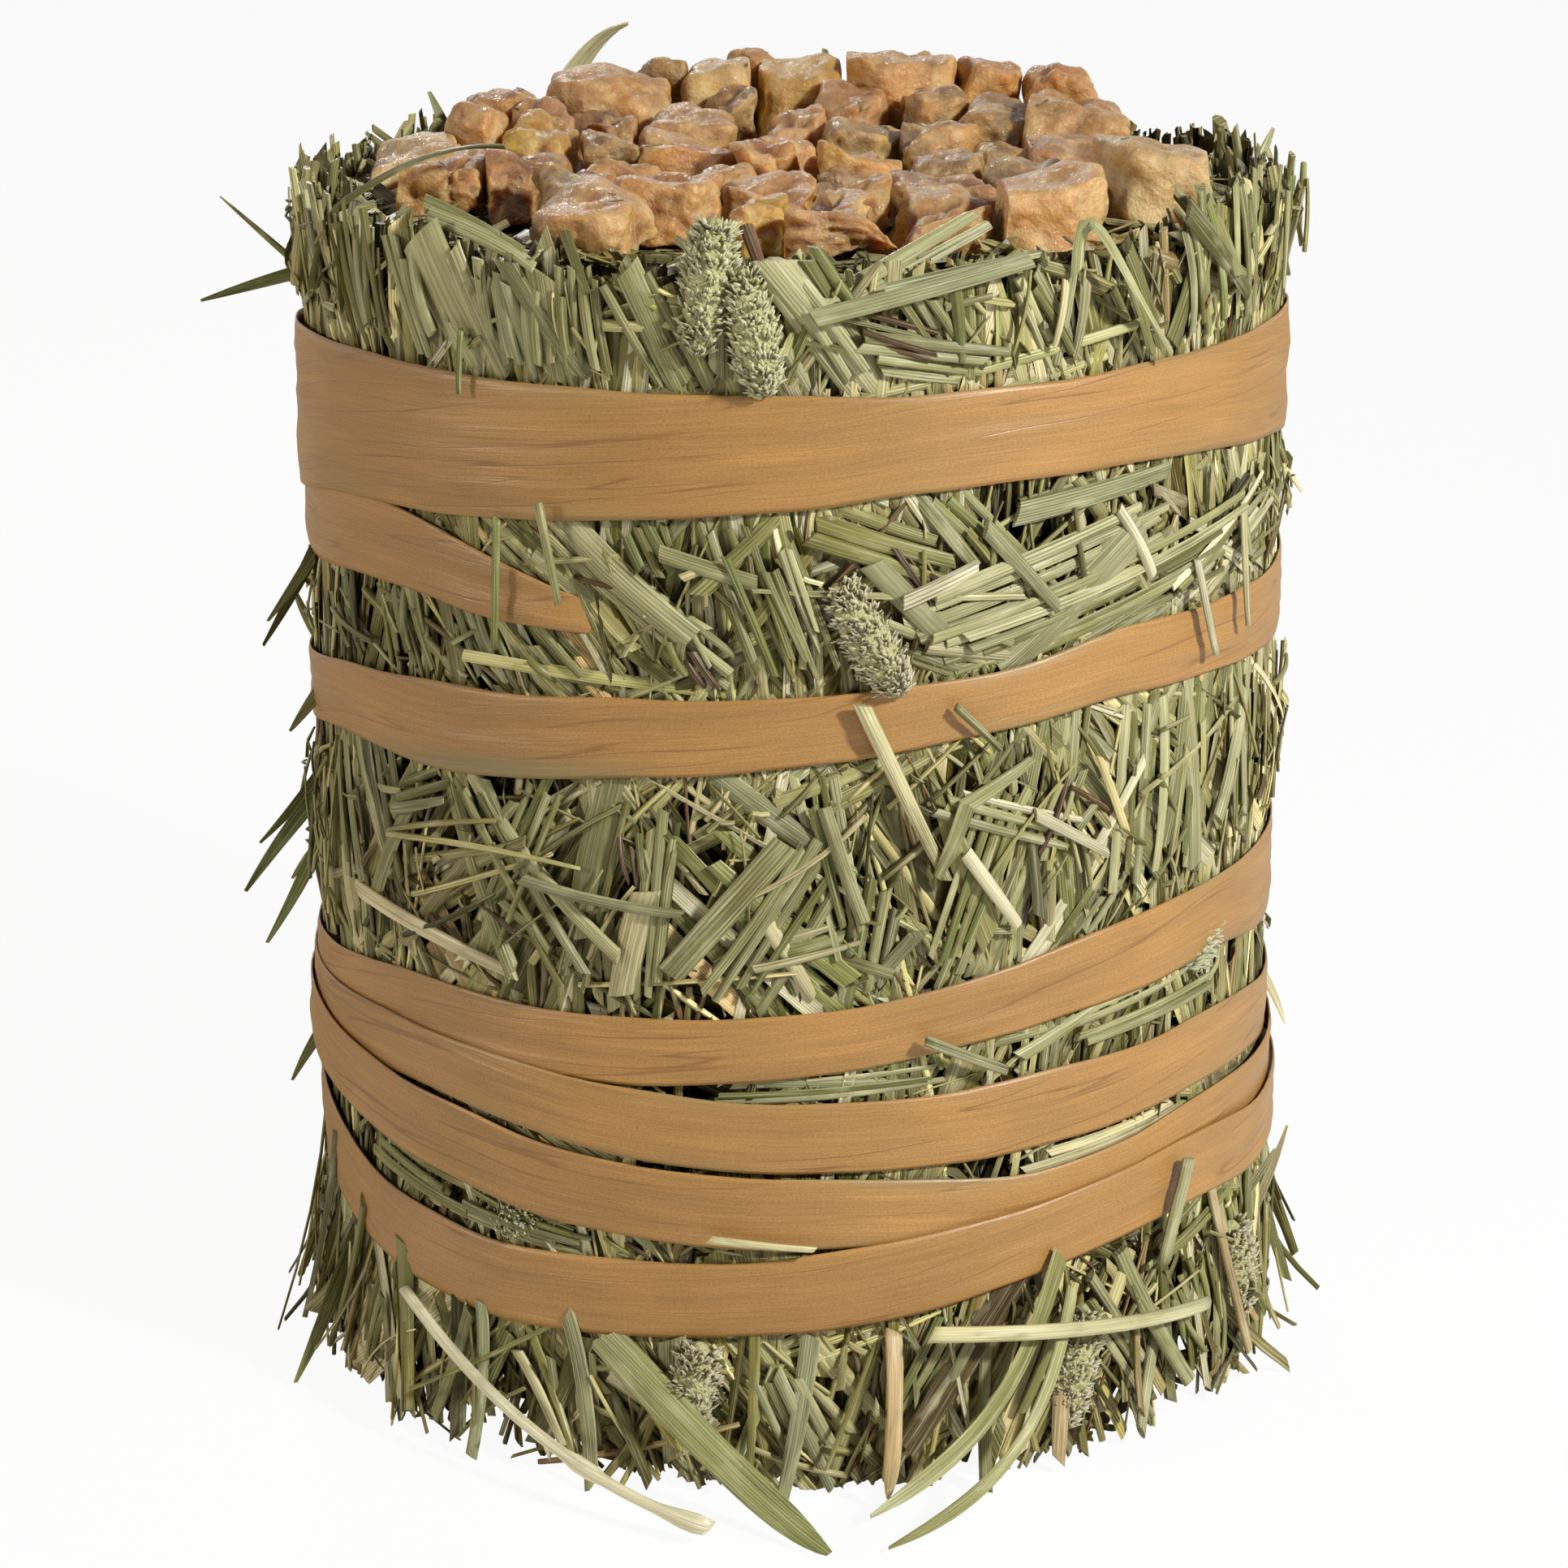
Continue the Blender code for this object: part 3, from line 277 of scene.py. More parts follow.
# Stems of the foot that stand out: azimuth and height of both ends, width, tone, splay at the tip.
FOOT_STEMS = (
    (-40, 14, -43, 2.5, 1.6, "sage", 2.5), (-38, 15, -36, 0.5, 1.4, "grey_green", 4.0),
    (-26, 16, -21, 0.6, 1.9, "pale_sage", 4.5), (-24, 14, -29, 3.0, 2.4, "dark_olive", 2.5),
    (-14, 15, -13, 3.5, 3.2, "sage", 2.0), (2, 16, -1, 1.0, 2.0, "grey_green", 4.0),
    (33, 15, 29, 1.5, 2.2, "tan", 3.5), (79, 32, 79, 11.0, 1.8, "grey_green", 0.4),
    (56, 26, 62, 4.0, 1.6, "tan", 3.0), (-61, 20, -64, 4.0, 1.6, "olive", 3.0),
    (-72, 24, -74, 3.0, 1.9, "dark_olive", 3.5), (40, 20, 47, 5.5, 1.8, "sage", 4.0),
    (-52, 18, -48, 5.0, 2.2, "olive", 2.5), (22, 14, 20, 0.8, 1.8, "sage", 4.5),
    (-2, 13, -7, 2.0, 1.5, "fresh", 3.0), (-33, 11, -25, 4.0, 1.4, "straw", 3.5),
    (48, 14, 40, 2.0, 1.7, "pale_sage", 3.5), (70, 20, 64, 9.0, 1.6, "olive", 3.0),
)

# Strays that leave the bale: root, tip, width, tone.
STRAY_STEMS = (
    ((-45.5, 4, 106), (-57.7, 2, 117.5), 1.0, "olive"),
    ((-45.5, -8, 112.5), (-58.4, -10, 109), 1.8, "green"),
    ((-46.0, -8, 88), (-53.2, -12, 74.5), 1.9, "dark_olive"),
    ((-45.0, -7, 62), (-56.4, -8, 47.4), 2.0, "green"),
    ((-45.5, -10, 60), (-53.6, -14, 43.8), 1.8, "green"),
    ((-47.0, 4, 51), (-53.0, 4, 45), 1.5, "olive"),
    ((-45.8, -9, 87), (-52.4, -14, 77.5), 1.4, "olive"),
    ((-45.5, -6, 64), (-55.0, -6, 52.0), 1.6, "olive"),
    ((-44.0, -19, 16), (-50.8, -26, 0.6), 2.2, "olive"),
    ((46.8, 6, 96), (52.5, 5, 86.5), 1.3, "straw"), ((43.5, -20, 15), (49.8, -13, 21), 1.4, "sage"),
    ((46.0, -10, 9.0), (51.0, -13, 23.6), 1.3, "husk"),
    ((44.0, 18, 112), (50.5, 24, 121.5), 2.0, "olive"), ((20, 43, 108), (26, 51, 117), 1.7, "sage"),
    ((-24, 41.5, 73), (-31, 49.5, 80), 1.8, "sage"), ((30, 37, 64), (37, 46, 58), 2.1, "olive"),
    ((4, 47, 16), (8, 58.5, 1), 2.8, "sage"), ((-30, 36, 14), (-39, 46, 1), 2.0, "olive"),
    ((33, 35, 13), (41, 43, 1), 2.1, "straw"),
    ((-35, 30, 114), (-38.5, 26.5, 125), 2.4, "grey_green"),
    ((5, 45.5, 114), (3.5, 44, 127.5), 3.4, "sage"), ((-47.5, 3, 69), (-51.5, 0, 78), 1.3, "olive"),
    ((-46.5, -9, 71), (-50.6, -13.5, 66), 1.6, "olive"),
    ((-46.8, -2, 34), (-52.5, -6, 26), 1.5, "olive"), ((47, -4, 40), (51.0, -8, 33), 1.4, "straw"),
)

# Seed heads lying in the hay: azimuth, height, tilt from upright in degrees, half length, tone.
SEED_HEADS = (
    (-9, 117.0, 8, 6.4, "green"), (-4.4, 113.2, -10, 6.0, "green"), (7.6, 84.8, -30, 6.4, "husk"),
    (33, 9.5, 12, 6.5, "husk"), (64, 11.5, -14, 6.0, "husk"), (-11.5, 9.5, 10, 6.0, "husk"),
    (-34, 24.6, 62, 3.2, "green"), (55, 48.0, 60, 3.6, "green"), (150, 71, 30, 6.5, "green"),
    (205, 10, -10, 6.0, "green"),
)

# The camera: its place in metres, how far it looks down in degrees, and its lens in mm.
CAMERA_PLACE = (-0.001, -0.426, 0.180)
CAMERA_TILT = 16.16
CAMERA_LENS = 97.83

# Lamps: name, place and size in metres, the setting that holds its power, colour.
LAMPS = (
    ("key_light", (0.54, -0.49, 0.51), 0.09, "key_power", (1.0, 1.0, 1.0)),
    ("fill_light", (-0.90, -0.32, 0.35), 0.16, "fill_power", (1.0, 0.90, 0.76)),
    ("back_light", (-0.12, 0.70, 0.42), 0.10, "back_power", (1.0, 0.97, 0.92)),
)
LAMP_AIM = Vector((0, 0, 0.06))
SKY_COLOUR = (1.0, 0.93, 0.74, 1.0)

# Drying browns the flesh: what is left of its red, green and blue. A die's flat top is
# painted darker, as painted shade: how much of each is lost there.
APPLE_BROWNING = (0.90, 0.845, 0.68)
APPLE_TOP_SHADE = (0.30, 0.36, 0.42)

# Loose pieces over their CAD nodes: control points, width, thickness, cup, tones of root and tip.
LOOSE_PIECES = {
    "front_leaf_blade": (
        ((-18.4, -46.0, 14.4), (-12.5, -50.8, 9.8), (-5.0, -57.0, 3.6), (3.2, -65.2, 0.9)),
        3.7, 0.3, 0.06, "sage", "fresh"),
    "noded_stalk": (
        ((-38.8, -32.4, 13.6), (-29.5, -49.0, 8.0), (-18.5, -57.0, 3.0), (-8.0, -62.5, 2.2)),
        1.25, 1.7, 0.0, "white", "white"),
    "lying_stalk": (
        ((13.0, -51.6, 17.0), (23.0, -51.5, 17.0), (33.5, -44.5, 14.5), (41.0, -33.2, 12.4)),
        1.6, 1.5, 0.0, "straw", "pale_sage"),
    "tan_stalk": (
        ((9.5, -48.9, 16.2), (10.0, -53.5, 9.0), (8.9, -55.0, 1.6)),
        1.8, 0.7, 0.1, "tan", "tan"),
    "crossing_blade_left": (
        ((25.6, -43.8, 22.0), (21.6, -50.6, 11.0), (18.0, -52.0, 5.6), (7.2, -58.8, 1.6)),
        1.9, 0.3, -0.12, "olive", "sage"),
    "crossing_blade_right": (
        ((27.0, -43.2, 18.0), (24.5, -54.0, 9.0), (20.0, -58.0, 3.6), (8.8, -64.0, 0.9)),
        1.5, 0.3, 0.15, "sage", "olive"),
}


def linear(hex_colour):
    """A colour written as sRGB hex, as linear red, green and blue."""
    shares = [int(hex_colour[i:i + 2], 16) / 255 for i in (1, 3, 5)]
    return tuple(c / 12.92 if c <= 0.04045 else ((c + 0.055) / 1.055) ** 2.4 for c in shares)


def opaque(hex_colour):
    """A colour written as sRGB hex, linear and with its alpha, as a shader node takes it."""
    return (*linear(hex_colour), 1.0)


# What a user may change.

class HaySettings(bpy.types.PropertyGroup):
    """Sizes and colours of the hay."""

    side_stems: bpy.props.IntProperty(
        name="Side Stems", description="Stems on the bale's side, in all three layers",
        default=5600, min=500, max=9000)
    rim_stems: bpy.props.IntProperty(
        name="Rim Stems", description="Standing stems round the apple bed",
        default=1000, min=100, max=2000)
    foot_stems: bpy.props.IntProperty(
        name="Foot Stems", description="Hanging stems round the foot",
        default=760, min=100, max=2000)
    chaff: bpy.props.IntProperty(
        name="Chaff", description="Small broken bits", default=1500, min=0, max=6000)
    bulge: bpy.props.FloatProperty(
        name="Bulge", description="How far the hay swells between the turns of the ribbon",
        default=1.9 * MM, min=0.0, max=4 * MM, subtype="DISTANCE", unit="LENGTH")
    tint: bpy.props.FloatVectorProperty(
        name="Tint", description="Colour that all the stems are multiplied by",
        default=(1.0, 0.955, 0.93), size=3, min=0.0, max=1.0, subtype="COLOR")
    # The pressed mass is painted dark, as painted shade deep in the hay.
    mass_shade_colour: bpy.props.FloatVectorProperty(
        name="Depth Colour", description="Colour of the pressed mass behind the stems",
        default=linear("#2E2410"), size=3, min=0.0, max=1.0, subtype="COLOR")


class RibbonSettings(bpy.types.PropertyGroup):
    """Sizes and colours of the paper ribbon."""

    thickness: bpy.props.FloatProperty(
        name="Thickness", description="Thickness of the paper",
        default=0.18 * MM, min=0.05 * MM, max=0.3 * MM, subtype="DISTANCE", unit="LENGTH")
    wrinkle: bpy.props.FloatProperty(
        name="Wrinkle Depth", description="Depth of the lengthwise wrinkles",
        default=0.20 * MM, min=0.0, max=0.3 * MM, subtype="DISTANCE", unit="LENGTH")
    colour: bpy.props.FloatVectorProperty(
        name="Paper Colour", description="Main colour of the paper",
        default=linear("#AA7E42"), size=3, min=0.0, max=1.0, subtype="COLOR")
    stain_colour: bpy.props.FloatVectorProperty(
        name="Stain Colour", description="Colour that damp hay leaves along the edges",
        default=linear("#86784C"), size=3, min=0.0, max=1.0, subtype="COLOR")


class AppleSettings(bpy.types.PropertyGroup):
    """Sizes and colours of the dried apple."""

    wrinkle: bpy.props.FloatProperty(
        name="Wrinkle Depth", description="Depth of the shrivelled folds",
        default=0.45 * MM, min=0.0, max=1.0 * MM, subtype="DISTANCE", unit="LENGTH")
    rim_colour: bpy.props.FloatVectorProperty(
        name="Dry Edge Colour", description="Colour of the driest ridges",
        default=linear("#D4B585"), size=3, min=0.0, max=1.0, subtype="COLOR")


class StageSettings(bpy.types.PropertyGroup):
    """Light and floor."""

    key_power: bpy.props.FloatProperty(
        name="Key Power", description="Power of the key light",
        default=8.6, min=0.0, max=100.0, subtype="POWER", unit="POWER")
    fill_power: bpy.props.FloatProperty(
        name="Fill Power", description="Power of the fill light",
        default=3.3, min=0.0, max=100.0, subtype="POWER", unit="POWER")
    back_power: bpy.props.FloatProperty(
        name="Back Power",
        description="Power of the low light behind, which makes moist flesh glint",
        default=0.8, min=0.0, max=100.0, subtype="POWER", unit="POWER")
    sky: bpy.props.FloatProperty(
        name="Sky", description="Strength of the even light from all round",
        default=0.06, min=0.0, max=2.0)
    floor_colour: bpy.props.FloatVectorProperty(
        name="Floor Colour", description="Colour of the floor",
        default=linear("#F4F4F2"), size=3, min=0.0, max=1.0, subtype="COLOR")


# Helpers for pieces and materials.

def give_piece(piece, slot, material, *nodes):
    """Ties a finished object to the frame, with its finish and the CAD nodes that it stands for."""
    bpy.context.scene.collection.objects.link(piece)
    piece.data.materials.clear()
    piece.data.materials.append(material)
    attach(piece, BODY)
    if nodes:
        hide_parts(*nodes)


def mesh_object(name, bm, smooth=True):
    """An object from a finished bmesh."""
    mesh = bpy.data.meshes.new(name)
    bm.to_mesh(mesh)
    bm.free()
    if smooth:
        mesh.shade_smooth()
    return bpy.data.objects.new(name, mesh)


def set_inputs(tree, node, inputs):
    """Sets a node's inputs, given by name or number.

    Each is a value, another node's output, or a node, whose first output in use is taken.
    """
    for key, value in inputs.items():
        if isinstance(value, bpy.types.Node):
            value = next(output for output in value.outputs if output.enabled)
        if isinstance(value, bpy.types.NodeSocket):
            tree.links.new(value, node.inputs[key])
        else:
            node.inputs[key].default_value = value


def add_node(tree, kind, inputs=(), **settings):
    """Adds a shader node with its settings and inputs, given by name or in order."""
    made = tree.nodes.new("ShaderNode" + kind)
    for key, value in settings.items():
        setattr(made, key, value)
    set_inputs(tree, made, inputs if isinstance(inputs, dict) else dict(enumerate(inputs)))
    return made


def new_material(name):
    """A material with its tree and its Principled shader."""
    material = bpy.data.materials.new(name)
    material.use_nodes = True
    return material, material.node_tree, material.node_tree.nodes["Principled BSDF"]


def shaded_along(tree, colour, patterns):
    """A colour made darker and lighter along patterns, each given with its two levels."""
    for pattern, darker, lighter in patterns:
        level = add_node(tree, "MapRange", (pattern, 0.3, 0.7, darker, lighter))
        colour = add_node(tree, "VectorMath", {0: colour, "Scale": level}, operation="SCALE")
    return colour


def patched(tree, colour, patches):
    """A colour with patches of others on it.

    Each patch has its pattern, where in it the patch starts and is fullest, how full, and its hex.
    """
    for pattern, start, full, most, own in patches:
        share = add_node(tree, "MapRange", (pattern, start, full, 0.0, most))
        colour = add_node(tree, "Mix", {0: share, 6: colour, 7: opaque(own)}, data_type="RGBA")
    return colour


# The ribbon's course.

def course_at(turned):
    """Lower and upper edge of the ribbon where it has turned so many degrees."""
    rows = RIBBON_COURSE
    last = len(rows) - 2
    index = next((i for i in range(last) if turned < rows[i + 1][0]), last)
    before, start, end = rows[max(index - 1, 0)], rows[index], rows[index + 1]
    after = rows[min(index + 2, last + 1)]
    span = end[0] - start[0]
    t = min(max((turned - start[0]) / span, 0.0), 1.0)
    edges = []
    for side in (1, 2):
        slope_in = (end[side] - before[side]) / (end[0] - before[0]) * span
        slope_out = (after[side] - start[side]) / (after[0] - start[0]) * span
        edges.append(
            (2 * t**3 - 3 * t**2 + 1) * start[side]
            + (t**3 - 2 * t**2 + t) * slope_in
            + (3 * t**2 - 2 * t**3) * end[side]
            + (t**3 - t**2) * slope_out
        )
    return edges


def ribbon_at(azimuth):
    """The lower and upper edges of each turn that passes this azimuth."""
    first, last = RIBBON_COURSE[0][0], RIBBON_COURSE[-1][0]
    turned = -azimuth % 360
    found = []
    while turned <= last:
        if turned >= first:
            found.append(course_at(turned))
        turned += 360
    return found


def ribbon_layers():
    """How many layers lie under the ribbon at each step of its course, eased from step to step."""
    first, last = RIBBON_COURSE[0][0], RIBBON_COURSE[-1][0]
    steps = (last - first) // RIBBON_STEP
    per_turn = 360 // RIBBON_STEP
    reach = 4
    raw = []

    def eased(i):
        """The layers under a step, evened out over the steps round it."""
        around = range(max(i - reach, 0), min(i + reach + 1, len(raw)))
        near = [max(raw[max(j - 2, 0):j + 3]) for j in around]
        return sum(near) / len(near)

    for i in range(steps + 1):
        low, high = course_at(first + i * RIBBON_STEP)
        under = 0.0
        for j in range(i - per_turn, -1, -per_turn):
            low_j, high_j = course_at(first + j * RIBBON_STEP)
            if low < high_j + RIBBON_CLEARANCE and high > low_j - RIBBON_CLEARANCE:
                under = max(under, eased(j) + 1)
        raw.append(under)
    return [eased(i) for i in range(steps + 1)]


def room_table():
    """How far each spot of the side is from the ribbon, by whole degree and half millimetre."""
    heights = np.arange(0, 133, 1 / ROOMS_A_MM)
    room = np.full((360, len(heights)), FAR_FROM_RIBBON)
    for azimuth in range(360):
        for low, high in ribbon_at(azimuth):
            room[azimuth] = np.minimum(room[azimuth], np.maximum(low - heights, heights - high))
    return room


ROOM = room_table()


def room_at(azimuth, height):
    """Distance from the ribbon in mm, below zero under it, for arrays of places."""
    rows = np.floor(azimuth).astype(int) % 360
    columns = np.clip((height * ROOMS_A_MM).round().astype(int), 0, ROOM.shape[1] - 1)
    return ROOM[rows, columns]


# Stems.

Stems = namedtuple("Stems", "centre facing width thick cup slant root tip pith")


def unit_stem(ring, segments):
    """A unit stem as arrays: each point's place across, out and along, and each face's corners."""
    bm = bmesh.new()
    bmesh.ops.create_cone(
        bm, cap_ends=True, segments=ring, radius1=1.0, radius2=1.0, depth=segments)
    long_edges = [e for e in bm.edges if abs(e.verts[0].co.z - e.verts[1].co.z) > 0.5]
    bmesh.ops.subdivide_edges(bm, edges=long_edges, cuts=segments - 1, use_grid_fill=True)
    bm.verts.index_update()
    across = np.array([v.co.y for v in bm.verts])
    out = np.array([-v.co.x for v in bm.verts])
    station = np.array([round(v.co.z + segments / 2) for v in bm.verts])
    place = [round(math.atan2(-v.co.x, v.co.y) / (2 * math.pi / ring)) % ring for v in bm.verts]
    corners, sizes, unrolled, flat = [], [], [], []
    for face in bm.faces:
        indices = [v.index for v in face.verts]
        closes = len(indices) == 4 and {place[i] for i in indices} == {0, ring - 1}
        for i in indices:
            turn = ring if closes and place[i] == 0 else place[i]
            unrolled.append((turn / ring, station[i] / segments))
        corners += indices
        sizes.append(len(indices))
        flat.append(len({station[i] for i in indices}) == 1)
    bm.free()
    return (across, out, station, np.array(place), np.array(corners), np.array(sizes),
            np.array(unrolled), np.array(flat))


def unit_vectors(vectors):
    """Vectors made one unit long."""
    return vectors / np.maximum(np.linalg.norm(vectors, axis=-1, keepdims=True), 1e-9)


def join_stems(name, stems, ring, rng):
    """One mesh of all the stems, each swept along its own centre line.

    Each point holds its tone and its place in mm across and along the fibres, and each stem
    has its own cell in the map.
    """
    count, stations = stems.centre.shape[:2]
    across, out, station, place, corners, sizes, unrolled, flat = unit_stem(ring, stations - 1)
    tangent = unit_vectors(np.gradient(stems.centre, axis=1))
    facing = stems.facing - np.sum(stems.facing * tangent, axis=-1, keepdims=True) * tangent
    facing = unit_vectors(facing)
    sideways = np.cross(facing, tangent)
    half_width = stems.width[:, station] / 2
    ends = np.where((station == 0) | (station == stations - 1), 1.0, 0.0)
    lift = out * stems.thick[:, station] / 2
    lift = lift + stems.cup[:, None] * 2 * half_width * (0.35 - across**2)
    points = (
        stems.centre[:, station]
        + sideways[:, station] * (across * half_width)[..., None]
        + facing[:, station] * lift[..., None]
        + tangent[:, station] * (stems.slant[:, None] * across * half_width * ends)[..., None]
    )
    points[..., 2] = np.maximum(points[..., 2], 0.15)

    mesh = bpy.data.meshes.new(name)
    per_stem = len(station)
    mesh.vertices.add(count * per_stem)
    mesh.vertices.foreach_set("co", (points * MM).astype(np.float32).ravel())
    mesh.loops.add(count * len(corners))
    offsets = np.arange(count)[:, None] * per_stem
    mesh.loops.foreach_set("vertex_index", (corners + offsets).ravel().astype(np.int32))
    starts = np.concatenate(([0], np.cumsum(sizes)[:-1]))
    mesh.polygons.add(count * len(sizes))
    shifts = np.arange(count)[:, None] * len(corners)
    mesh.polygons.foreach_set("loop_start", (starts + shifts).ravel().astype(np.int32))
    mesh.polygons.foreach_set("use_smooth", np.tile(~flat, count))
    mesh.update(calc_edges=True)
    # The rims of leaf blades are sharp, so that blades look flat and only culms look round.
    pairs = np.empty(2 * len(mesh.edges), np.int32)
    mesh.edges.foreach_get("vertices", pairs)
    pairs = pairs.reshape(-1, 2)
    stem, local = pairs[:, 0] // per_stem, pairs % per_stem
    blade = (stems.thick / np.maximum(stems.width, 0.01)).mean(axis=1) < 0.45
    along_rim = (place[local[:, 0]] == place[local[:, 1]]) & (np.abs(across[local[:, 0]]) > 0.8)
    sharp = mesh.attributes.new("sharp_edge", "BOOLEAN", "EDGE")
    sharp.data.foreach_set("value", along_rim & blade[stem])

    steps = np.linalg.norm(np.diff(stems.centre, axis=1), axis=-1)
    run = np.concatenate((np.zeros((count, 1)), np.cumsum(steps, axis=1)), axis=1)
    own = rng.uniform(0, 400, (count, 3))
    fibre = np.stack((
        across * half_width * rng.uniform(0.9, 1.7, (count, 1)) + own[:, :1],
        run[:, station] + own[:, 1:2],
        np.broadcast_to(own[:, 2:], half_width.shape),
    ), axis=-1)
    t = (station / (stations - 1))[None, :, None]
    tone = stems.root[:, None] * (1 - t) + stems.tip[:, None] * t
    inner = (stems.pith[:, None] * (out > 0.2))[..., None] * 0.75
    tone = tone * (1 - inner) + np.array(linear("#E0D8B4")) * inner
    attribute = mesh.attributes.new("fibre", "FLOAT_VECTOR", "POINT")
    attribute.data.foreach_set("vector", fibre.astype(np.float32).ravel())
    attribute = mesh.attributes.new("tone", "FLOAT_COLOR", "POINT")
    tone = np.concatenate((tone, np.ones(tone.shape[:2] + (1,))), axis=-1)
    attribute.data.foreach_set("color", tone.astype(np.float32).ravel())

    grid = math.ceil(math.sqrt(count))
    cell = np.stack((np.arange(count) % grid, np.arange(count) // grid), axis=-1)[:, None]
    layer = mesh.uv_layers.new(name="OFBake")
    spots = (cell + 0.08 + 0.84 * unrolled) / grid
    layer.uv.foreach_set("vector", spots.astype(np.float32).ravel())
    return bpy.data.objects.new(name, mesh)


def from_front(azimuth):
    """An azimuth as degrees from the front, below zero on the left."""
    return (azimuth + 180) % 360 - 180


def swell(azimuth, height, bulge):
    """The outermost radius of the hay: tight under the ribbon, swollen between its turns."""
    room = room_at(azimuth, height)
    t = np.clip((room - 0.2) / 5.0, 0, 1)
    return HAY_RADIUS + bulge * t * t * (3 - 2 * t)


def on_bale(azimuth, radius, height):
    """Places from arrays of azimuths in degrees, radii and heights."""
    angle = np.radians(azimuth)
    return np.stack((radius * np.sin(angle), -radius * np.cos(angle), height), axis=-1)


def lay_stems(rng, azimuth, height, slope, length, width, round_share, radius, options):
    """Centre lines and sections of stems that lie bent round the bale.

    options: stations, tilt, lift, free_lift, bend, roll, bulge, top, over.
    """
    count = len(azimuth)
    stations = options.get("stations", 6)
    slope = np.radians(slope)[:, None]
    long = length[:, None]
    bend = rng.normal(0, options.get("bend", 0.05), count)[:, None]

    def course(s):
        """How far round, which azimuth and how high the stem is, from -0.5 at its root to 0.5."""
        sag = (s * s - 1 / 12) * long * bend
        girth = s * long * np.cos(slope) - sag * np.sin(slope)
        rise = s * long * np.sin(slope) + sag * np.cos(slope)
        return girth, azimuth[:, None] + np.degrees(girth / BEND_RADIUS), height[:, None] + rise

    s = np.linspace(-0.5, 0.5, stations)[None]
    close = np.linspace(-0.5, 0.5, 31)[None]
    girth, azimuths, heights = course(s)
    close_girth, close_azimuths, close_heights = course(close)
    shift = np.zeros((count, 1))
    if "top" in options:
        shift -= np.maximum(heights.max(axis=1, keepdims=True) - options["top"][:, None], 0)
    shift += np.maximum(0.4 - (heights + shift).min(axis=1, keepdims=True), 0)
    heights, close_heights = heights + shift, close_heights + shift
    roll = np.radians(rng.normal(0, options.get("roll", 14.0), count))[:, None]
    if options.get("over"):
        radii = np.repeat(radius[:, None], stations, axis=1)
    else:
        # A stem is stiff: it goes straight between its ends, low enough to clear the ribbon.
        half = (0.13 + (width * 0.45 - 0.13) * round_share)[:, None]
        stand = np.abs(np.sin(roll)) * width[:, None] * 0.45 + np.maximum(half, 0.15)
        ceiling = swell(close_azimuths, close_heights, options["bulge"]) - stand
        tilt = rng.normal(0, options.get("tilt", 0.5), count)[:, None]
        start = np.minimum(radius[:, None] - tilt, ceiling[:, :1])
        end = np.minimum(radius[:, None] + tilt, ceiling[:, -1:])
        bow = rng.uniform(0, 0.5, count)[:, None]

        def radius_at(s, girth):
            """The radius along a stem that is straighter than the bale and a little bowed."""
            straight = start + (end - start) * (s + 0.5)
            opened = STEM_STIFFNESS * girth**2 / (2 * BEND_RADIUS)
            return straight + opened + bow * (1 - 4 * s * s)

        excess = (radius_at(close, close_girth) - ceiling).max(axis=1, keepdims=True)
        radii = radius_at(s, girth) - np.maximum(excess, 0)
        free = room_at(close_azimuths[:, 15:], close_heights[:, 15:]).min(axis=1) > 1.0
        poke = np.where(free, options.get("free_lift", np.zeros(count)), 0.0)
        radii = radii + poke[:, None] * (s + 0.5) ** 2
    radii = radii + options.get("lift", np.zeros(count))[:, None] * (s + 0.5) ** 1.5
    centre = on_bale(azimuths, radii, heights)
    outward = on_bale(azimuths, np.ones_like(radii), np.zeros_like(radii))
    tangent = unit_vectors(np.gradient(centre, axis=1))
    sideways = unit_vectors(np.cross(outward, tangent))
    facing = outward * np.cos(roll)[..., None] + sideways * np.sin(roll)[..., None]
    taper = 1.0 - rng.uniform(0.0, 0.45, count)[:, None] * (s + 0.5) ** 2
    widths = width[:, None] * taper
    thin = np.minimum(0.24 + 0.03 * widths, widths)
    thick = thin + (widths * 0.9 - thin) * round_share[:, None]
    return centre, facing, widths, thick


def tones_of(rows, column):
    """The linear colours of the tones named in one column of a table."""
    return np.array([linear(TONES[row[column]]) for row in rows])


def pick_tones(rng, count, tones=MIXED_TONES, shade=1.0, spread_by=0.33):
    """A root and a tip colour for each stem."""
    names = [name for name, share in tones]
    shares = np.array([share for name, share in tones], float)
    palette = np.array([linear(TONES[name]) for name in names])
    picked = rng.choice(len(names), count, p=shares / shares.sum())
    other = rng.choice(len(names), count, p=shares / shares.sum())
    root = palette[picked]
    mixed = rng.uniform(0, 0.45, count)[:, None]
    tip = root * (1 - mixed) + palette[other] * mixed
    level = np.exp(rng.normal(0, spread_by, count))[:, None]
    # Shade in the depth of the hay is brown: the light in it has passed through other stems.
    tint = np.array(bpy.context.scene.bale_hay.tint) * shade ** np.array((1.0, 1.08, 1.8))
    return root * level * tint, tip * level * tint


def stem_widths(rng, count, wide=1.0):
    """Widths of stems and leaf blades, most of them narrow."""
    widths = rng.choice(
        (0.6, 0.9, 1.3, 1.8, 2.5, 3.5), count, p=(0.19, 0.30, 0.26, 0.15, 0.07, 0.03))
    return widths * rng.uniform(0.8, 1.25, count) * wide


def some_round(rng, count, share, least):
    """How round each stem is: a share of them are culms, and the others are flat blades."""
    return np.where(rng.uniform(size=count) < share, rng.uniform(least, 1.0, count), 0.0)


def slim_culms(width, round_share, widest):
    """The widths with no culm wider than a limit."""
    return np.where(round_share > 0, np.minimum(width, widest), width)


